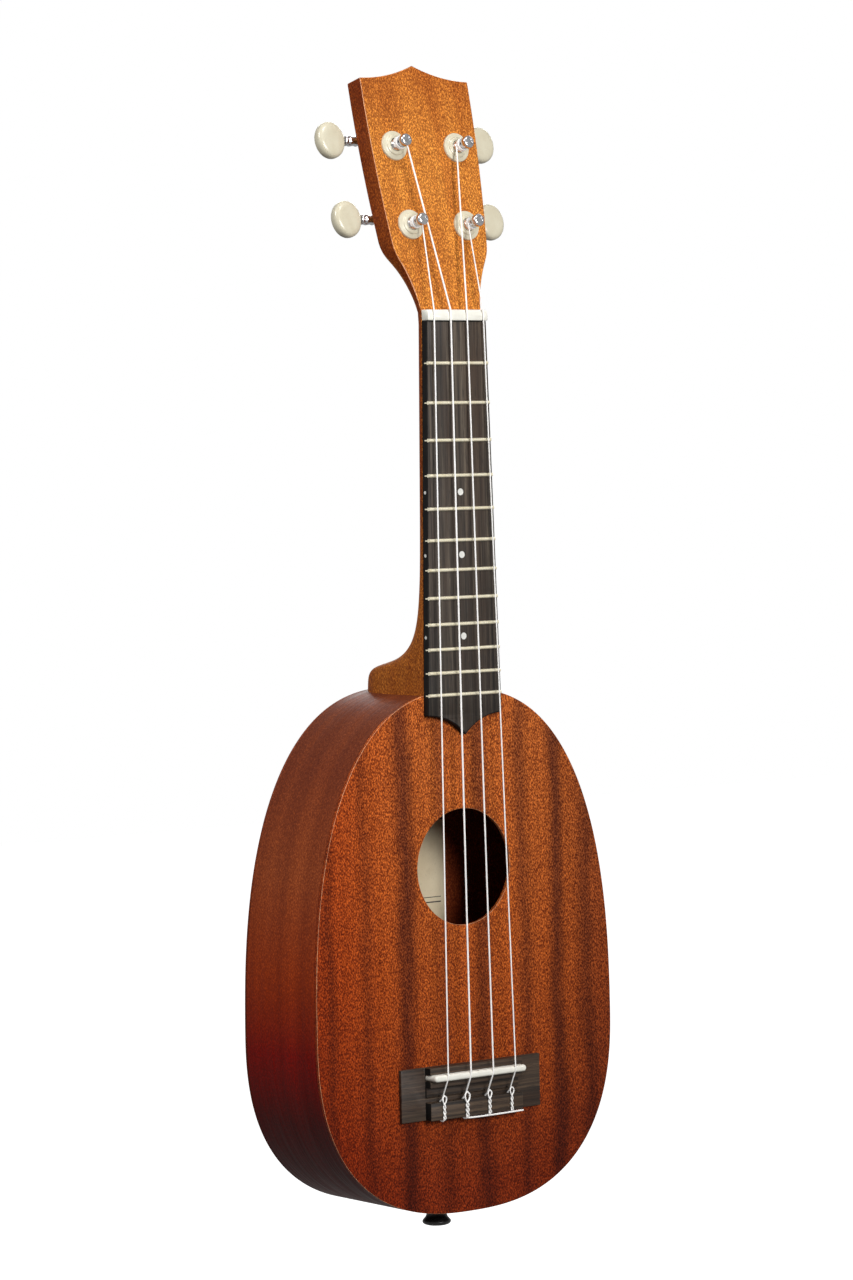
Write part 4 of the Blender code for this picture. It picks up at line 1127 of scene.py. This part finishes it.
def build_worm(number):
    """Thread, journals, collar and stub in one shaft, with the knob's end outwards."""
    profile = [
        (0.0, 25.2), (1.3, 25.2), (1.3, 17.7), (2.15, 17.7), (2.4, 17.2), (2.4, 16.7), (2.0, 16.1),
        (2.0, 15.8), (2.5, 15.1), (2.55, 14.5), (2.3, 13.2), (2.2, 12.0), (2.5, 10.9), (2.4, 10.4),
        (1.4, 9.6), (1.4, 4.6), (1.3, 4.5), (1.3, -4.5), (1.4, -4.6), (1.4, -7.2), (1.2, -7.4),
        (0.0, -7.4),
    ]
    side = math.copysign(1.0, TUNERS[number][0])
    shaft = turned(profile, 40)
    shaft.transform(Matrix.Rotation(side * math.pi / 2, 4, "Y"))
    mesh = shaded(boolean(shaft, [helix_thread()], "UNION"), 40.0)
    place = tuner_place(number) @ Matrix.Translation((0.0, WORM_DEPTH, WORM_RISE))
    k = number + 1
    piece(f"worm_shaft_{k}", mesh, CHROME, f"key_{k}", [f"tuner_worm_{k}"], place)


def build_knob(number):
    """A flat oval button, gently domed on both faces."""
    middle = math.copysign(1.0, TUNERS[number][0]) * (KNOB_START + KNOB_LENGTH / 2)
    rings = []
    levels = 9
    for j in range(1, 2 * levels):
        lean = math.pi * (j / (2 * levels) - 0.5)
        thick = math.copysign(abs(math.sin(lean)) ** 0.72, lean)
        spread = max(math.cos(lean), 0.0) ** 0.36
        ring = []
        for i in range(64):
            angle = 2 * math.pi * i / 64
            x = middle + spread * KNOB_LENGTH / 2 * math.cos(angle)
            ring.append((x, thick * KNOB_THICKNESS / 2, spread * KNOB_HEIGHT / 2 * math.sin(angle)))
        rings.append(ring)
    mesh = finished(loft(rings), 60.0)
    place = tuner_place(number) @ Matrix.Translation((0.0, WORM_DEPTH, WORM_RISE))
    k = number + 1
    piece(f"knob_button_{k}", mesh, IVORY, f"key_{k}", [f"tuner_knob_{k}"], place)


def build_post(number):
    """The string post: a domed cap, a waist with a cross hole, a barrel and a round stub for the gear."""
    profile = [
        (0.0, 10.6), (1.5, 10.6), (1.7, 11.0), (2.2, 11.0), (2.7, 10.7), (2.9, 10.2), (2.9, 8.3),
        (2.75, 7.95), (2.35, 7.5), (2.3, 7.0), (2.3, 4.0), (2.4, 3.5), (2.9, 2.9), (2.9, -11.95),
        (1.9, -11.95), (1.9, -15.5), (1.6, -15.75), (0.0, -15.75),
    ]
    mesh = turned(profile)
    mesh.transform(LIE_BACK)
    drill = cylinder(0.75 * MM, 10.0 * MM, 20)
    drill.transform(Matrix.Translation((0.0, -7.3 * MM, 0.0)) @ Matrix.Rotation(math.pi / 2, 4, "Y"))
    mesh = shaded(boolean(mesh, [drill]), 40.0)
    k = number + 1
    place = tuner_place(number)
    piece(f"string_post_{k}", mesh, CHROME, f"post_{k}", [f"tuner_post_{k}"], place)


def build_bushing(number):
    profile = [
        (3.1, 2.0), (3.3, 2.15), (4.4, 2.1), (4.75, 1.9), (4.95, 1.45), (5.2, 1.3), (6.4, 1.2),
        (6.85, 1.05), (7.05, 0.7), (7.05, 0.02), (4.25, 0.02), (4.25, -4.0), (3.1, -4.0),
    ]
    mesh = turned(profile, 64, ring=True)
    mesh.transform(LIE_BACK)
    k = number + 1
    place = tuner_place(number)
    piece(f"face_bushing_{k}", mesh, IVORY, ROOT, [f"tuner_bushing_{k}"], place)


def build_gear(number):
    points = []
    pitch = 2 * math.pi / GEAR_TEETH
    flanks = (
        (-0.26, GEAR_ROOT_RADIUS),
        (-0.19, GEAR_PITCH_RADIUS - 0.05 * MM),
        (-0.10, GEAR_TIP_RADIUS),
        (0.10, GEAR_TIP_RADIUS),
        (0.19, GEAR_PITCH_RADIUS - 0.05 * MM),
        (0.26, GEAR_ROOT_RADIUS),
    )
    for tooth in range(GEAR_TEETH):
        for share, radius in flanks:
            angle = math.pi / 2 + (tooth + 0.5 + share) * pitch
            points.append((radius * math.cos(angle), radius * math.sin(angle)))
    bore = circle(0.0, 0.0, 1.92 * MM, 32)
    mesh = plate([points, bore], WORM_DEPTH - GEAR_HALF_FACE, WORM_DEPTH + GEAR_HALF_FACE)
    k = number + 1
    place = tuner_place(number)
    piece(f"worm_gear_{k}", mesh, BRASS, f"post_{k}", [f"tuner_gear_{k}"], place)
    screw = turned([(0.0, -17.0), (1.7, -16.9), (2.3, -16.4), (2.4, -15.3), (0.0, -15.3)], 32)
    screw.transform(LIE_BACK)
    slit = box((-3.0 * MM, 16.5 * MM, -0.3 * MM), (3.0 * MM, 18.0 * MM, 0.3 * MM))
    screw = boolean(screw, [slit])
    piece(f"gear_screw_{k}", screw, CHROME, f"post_{k}", (), place)


def build_tuner_plate(number):
    """The base plate, its two ears with the worm's bearings, and two wood screws."""
    front = HEAD_THICKNESS + 0.02 * MM
    rear = HEAD_THICKNESS + 1.3 * MM
    outline = round_corners(
        [
            (-EAR_OUTER, -9.0 * MM),
            (-4.0 * MM, -11.0 * MM),
            (4.0 * MM, -11.0 * MM),
            (EAR_OUTER, -9.0 * MM),
            (EAR_OUTER, 12.0 * MM),
            (4.0 * MM, 14.0 * MM),
            (-4.0 * MM, 14.0 * MM),
            (-EAR_OUTER, 12.0 * MM),
        ],
        1.5 * MM,
        5,
        closed=True,
    )
    mesh = rounded(plate([outline, circle(0.0, 0.0, POST_RADIUS + 0.15 * MM, 32)], front, rear), 0.25 * MM, 2)
    ears = []
    for low in (-EAR_OUTER, EAR_INNER):
        arch = [(rear - 0.6 * MM, WORM_RISE - 3.2 * MM)]
        for i in range(13):
            angle = -math.pi / 2 + math.pi * i / 12
            y = WORM_DEPTH - 0.2 * MM + 3.15 * MM * math.cos(angle)
            arch.append((y, WORM_RISE + 3.15 * MM * math.sin(angle)))
        arch.append((rear - 0.6 * MM, WORM_RISE + 3.2 * MM))
        ear = plate([arch, circle(WORM_DEPTH, WORM_RISE, 1.5 * MM, 28)], low, low + EAR_OUTER - EAR_INNER)
        ear.transform(SWAP_X_AND_Y)
        ear.flip_normals()
        ears.append(ear)
    mesh = shaded(boolean(mesh, ears, "UNION"), 30.0)
    k = number + 1
    place = tuner_place(number)
    piece(f"base_plate_{k}", mesh, CHROME, ROOT, [f"tuner_plate_{k}"], place)
    dome = [(0.0, -1.35), (0.9, -1.25), (1.6, -0.95), (2.0, -0.45), (2.05, -0.02), (0.0, -0.02)]
    for letter, height in (("low", -8.0), ("high", 11.0)):
        head = turned(dome, 28)
        head.transform(LIE_BACK)
        slit = box((-3.0 * MM, 0.75 * MM, -0.25 * MM), (3.0 * MM, 3.0 * MM, 0.25 * MM))
        cross = box((-0.25 * MM, 0.75 * MM, -3.0 * MM), (0.25 * MM, 3.0 * MM, 3.0 * MM))
        head = boolean(head, [slit, cross])
        head.transform(Matrix.Translation((0.0, rear, height * MM)))
        piece(f"plate_screw_{letter}_{k}", head, CHROME, ROOT, (), place)


# --- camera, lights and stage ---


def add_camera():
    """The photo's camera, solved from the frets, the nut, the bridge and the body's outline."""
    data = bpy.data.cameras.new("camera")
    data.sensor_width = 36.0
    data.lens = 119.83
    camera = bpy.data.objects.new("camera", data)
    bpy.context.scene.collection.objects.link(camera)
    azimuth, elevation, roll = math.radians(-37.33), math.radians(2.31), math.radians(-1.344)
    level = math.cos(elevation)
    back = Vector((math.sin(azimuth) * level, -math.cos(azimuth) * level, math.sin(elevation)))
    camera.rotation_mode = "QUATERNION"
    camera.rotation_quaternion = (-back).to_track_quat("-Z", "Y") @ Quaternion((0.0, 0.0, 1.0), roll)
    camera.location = (-1.21334, -1.57438, -0.08371)
    data.clip_end = 50.0
    bpy.context.scene.camera = camera


def add_softbox(name, place, aim, size, power, colour=(1.0, 1.0, 1.0)):
    data = bpy.data.lights.new(name, "AREA")
    data.shape = "RECTANGLE"
    data.size, data.size_y = size
    data.energy = power
    data.color = colour
    light = bpy.data.objects.new(name, data)
    bpy.context.scene.collection.objects.link(light)
    light.location = place
    light.rotation_mode = "QUATERNION"
    light.rotation_quaternion = (Vector(aim) - Vector(place)).to_track_quat("-Z", "Y")


def add_world():
    """White to the camera, grey in reflections and dim where it lights the object."""
    world = bpy.data.worlds.new("studio")
    bpy.context.scene.world = world
    world.use_nodes = True
    tree = world.node_tree
    tree.nodes.clear()
    path = add_node(tree, "LightPath")
    shades = []
    warm, white = (1.0, 0.99, 0.97, 1.0), (1.0, 1.0, 1.0, 1.0)
    for colour, strength in ((warm, 0.10), (warm, 0.40), (white, 1.0)):
        shades.append(add_node(tree, "Background", {"Color": colour, "Strength": strength}).outputs[0])
    lit = add_node(tree, "MixShader", {"Fac": path.outputs["Is Glossy Ray"]})
    chosen = add_node(tree, "MixShader", {"Fac": path.outputs["Is Camera Ray"]})
    tree.links.new(shades[0], lit.inputs[1])
    tree.links.new(shades[1], lit.inputs[2])
    tree.links.new(lit.outputs[0], chosen.inputs[1])
    tree.links.new(shades[2], chosen.inputs[2])
    output = add_node(tree, "OutputWorld")
    tree.links.new(chosen.outputs[0], output.inputs["Surface"])


def add_floor():
    """A flat pale floor far below, out of the object's light."""
    bm = bmesh.new()
    reach, ground = 6.0, -0.85
    corners = [(-reach, -reach), (reach, -reach), (reach, reach), (-reach, reach)]
    bm.faces.new([bm.verts.new((x, y, ground)) for x, y in corners])
    floor = bpy.data.objects.new("floor", finished(bm))
    bpy.context.scene.collection.objects.link(floor)
    glow = {"Emission_Color": (1.0, 1.0, 1.0, 1.0), "Emission_Strength": 1.0}
    material, _, _ = new_material("pale_floor", Base_Color=(0.9, 0.9, 0.9, 1.0), Roughness=0.9, **glow)
    floor.data.materials.append(material)
    floor.visible_diffuse = False
    floor.visible_glossy = False


# --- the whole instrument ---

# Dark ribbons across the soundboard: middle, half width and darkness, in millimetres
RIBBONS = (
    (-78.0, 5.0, 0.6), (-57.0, 6.0, 0.55), (-35.0, 9.0, 1.0), (-13.0, 7.0, 0.5), (9.0, 9.0, 0.8),
    (34.0, 7.0, 0.75), (54.0, 8.0, 1.0), (73.0, 8.0, 0.75),
)
# How the colour is tinted, as (height, tint) or, for the soundboard's edges, as (place across, tint), in
# metres
# Painted shade: the soundboard darkens towards the tail, where the light falls off
TOP_PAINTED_SHADE = (
    (-0.42, (0.40, 0.20, 0.20)),
    (-0.395, (0.50, 0.30, 0.28)),
    (-0.37, (0.64, 0.46, 0.40)),
    (-0.32, (0.82, 0.68, 0.58)),
    (-0.26, (0.95, 0.90, 0.84)),
    (-0.20, (1.0, 1.0, 1.0)),
)
# Painted shade: the soundboard darkens towards its bass and treble edges
TOP_EDGE_PAINTED_SHADE = (
    (-0.090, (0.72, 0.42, 0.34)),
    (-0.070, (0.88, 0.62, 0.50)),
    (-0.045, (1.0, 0.88, 0.80)),
    (-0.020, (1.0, 1.0, 1.0)),
    (0.035, (1.0, 1.0, 1.0)),
    (0.065, (0.80, 0.78, 0.85)),
    (0.090, (0.55, 0.50, 0.75)),
)
BOARD_FADE = (
    (-0.192, (0.62, 0.62, 0.62)),
    (-0.165, (0.85, 0.85, 0.85)),
    (-0.12, (1.05, 1.05, 1.05)),
    (0.0, (1.15, 1.12, 1.08)),
)
BACK_TINTS = (
    (-0.43, (0.25, 0.07, 0.06)),
    (-0.37, (0.46, 0.20, 0.15)),
    (-0.31, (0.78, 0.56, 0.44)),
    (-0.24, (0.86, 0.76, 0.68)),
    (-0.17, (0.80, 0.76, 0.72)),
)
# Painted shade and painted light: the sides darken towards the tail, where they face downward, and tints over
# 1 brighten them a little higher up
SIDE_PAINTED_SHADE_AND_LIGHT = (
    (-0.43, (0.18, 0.01, 0.01)),
    (-0.385, (0.27, 0.02, 0.01)),
    (-0.352, (0.80, 0.06, 0.03)),
    (-0.315, (1.25, 0.65, 0.26)),
    (-0.27, (1.22, 1.08, 0.80)),
    (-0.222, (0.70, 0.60, 0.54)),
    (-0.185, (0.60, 0.62, 0.60)),
)
HEAD_TINTS = (
    (-0.17, (0.62, 0.50, 0.45)),
    (-0.05, (1.0, 1.0, 1.0)),
    (0.06, (1.0, 1.0, 1.0)),
    (0.105, (0.76, 0.60, 0.55)),
)
TOP_WOOD = mahogany(
    "ribbon_mahogany",
    (0.43, 0.100, 0.020),
    (0.10, 0.022, 0.010),
    sheen=0.1,
    bands=RIBBONS,
    burst=TOP_PAINTED_SHADE,
    edges=TOP_EDGE_PAINTED_SHADE,
)
SIDE_WOOD = mahogany(
    "back_mahogany",
    (0.30, 0.070, 0.026),
    (0.17, 0.036, 0.016),
    seed=2.3,
    speckle=0.5,
    sheen=0.08,
    burst=BACK_TINTS,
)
BENT_WOOD = mahogany(
    "bent_mahogany",
    (0.30, 0.070, 0.026),
    (0.19, 0.041, 0.018),
    "strip",
    seed=4.1,
    speckle=0.45,
    sheen=0.08,
    burst=SIDE_PAINTED_SHADE_AND_LIGHT,
)
NECK_WOOD = mahogany(
    "neck_mahogany",
    (0.62, 0.225, 0.040),
    (0.44, 0.13, 0.022),
    seed=7.7,
    speckle=0.7,
    roughness=0.58,
    sheen=0.1,
    burst=HEAD_TINTS,
    # Painted shade on the neck's sideways faces
    flanks=(0.42, 0.24, 0.20),
)
# A lighter mahogany for rounded edges: a painted highlight where an edge would catch the light
EDGE_PAINTED_HIGHLIGHT = mahogany("mahogany_edge_painted_highlight", (0.80, 0.42, 0.24), (0.62, 0.27, 0.14), seed=9.1, speckle=0.4)
# Black for the fretboard's sides, and painted shade on its rounded edge and on the bridge block's end walls
BLACK_EDGE_AND_SHADE_TONE = (0.006, 0.005, 0.005)
BLACK_EDGE_AND_SHADE = moulded("black_edge_and_painted_shade", BLACK_EDGE_AND_SHADE_TONE, (0.011, 0.010, 0.009), 0.6, Specular_IOR_Level=0.12)
BOARD_WOOD = rosewood("fretboard_rosewood", "upright", (0.72, 0.66, 0.60), BOARD_FADE)
BRIDGE_WOOD = rosewood("bridge_rosewood", "strip", (0.66, 0.50, 0.38))
UPRIGHT_INNER = bare_wood("inner_wood_upright", "upright")
LEVEL_INNER = bare_wood("inner_wood_level", "level")
BONE = moulded("bone", (0.90, 0.885, 0.80), (0.84, 0.82, 0.73), 0.32)
PEARL = moulded("dot_white", (0.82, 0.81, 0.76), (0.70, 0.70, 0.66), 0.3)
IVORY = moulded("ivory_plastic_glossy", (0.68, 0.63, 0.48), (0.63, 0.57, 0.42), 0.22)
# The strings glow faintly: painted light that whitens them
GLOWING_NYLON = moulded("clear_nylon_glowing", (0.94, 0.92, 0.89), (0.87, 0.85, 0.82), 0.3, Emission_Strength=0.12)
FRET_METAL = plated("nickel_silver", (1.0, 0.93, 0.72), (0.92, 0.82, 0.56), 0.26, metallic=0.4)
BRASS = plated("gear_metal", (0.78, 0.58, 0.28), (0.55, 0.40, 0.18), 0.34)
CHROME = plated("tuner_plating", (0.72, 0.72, 0.74), (0.55, 0.55, 0.57), 0.16)
BLACK = moulded("black_button", (0.018, 0.017, 0.017), (0.030, 0.029, 0.028), 0.30)
INK = moulded("label_ink", (0.05, 0.04, 0.035), (0.09, 0.07, 0.06), 0.7)
PAPER = label_paper("aged_paper")

add_camera()
build_soundboard()
build_back()
build_sides()
build_label()
build_end_button()
build_neck()
build_fretboard()
build_frets()
build_nut()
add_dots()
build_bridge()
build_saddle()
build_strings()
build_windings()
for tuner in range(4):
    build_tuner_plate(tuner)
    build_worm(tuner)
    build_knob(tuner)
    build_post(tuner)
    build_bushing(tuner)
    build_gear(tuner)

for node_name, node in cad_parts.items():
    if "brace" in node_name:
        inner_wood = LEVEL_INNER
    elif "lining" in node_name or "block" in node_name:
        inner_wood = UPRIGHT_INNER
    else:
        continue
    node.data.materials.clear()
    node.data.materials.append(inner_wood)

add_softbox("key", (-0.13, -1.55, 0.25), (0.0, 0.0, -0.15), (0.55, 0.55), 20.5)
add_softbox("top_light", (0.10, -1.00, 1.30), (0.0, 0.0, -0.10), (0.40, 0.40), 8.0)
add_softbox("side_fill", (-1.30, 0.10, 0.90), (0.0, 0.0, -0.20), (0.60, 0.60), 15.0)
add_softbox("back_fill", (1.3, 1.5, 0.8), (0.0, 0.0, -0.15), (1.2, 1.2), 16.0)
add_world()
add_floor()
bpy.context.scene.view_settings.view_transform = "Standard"
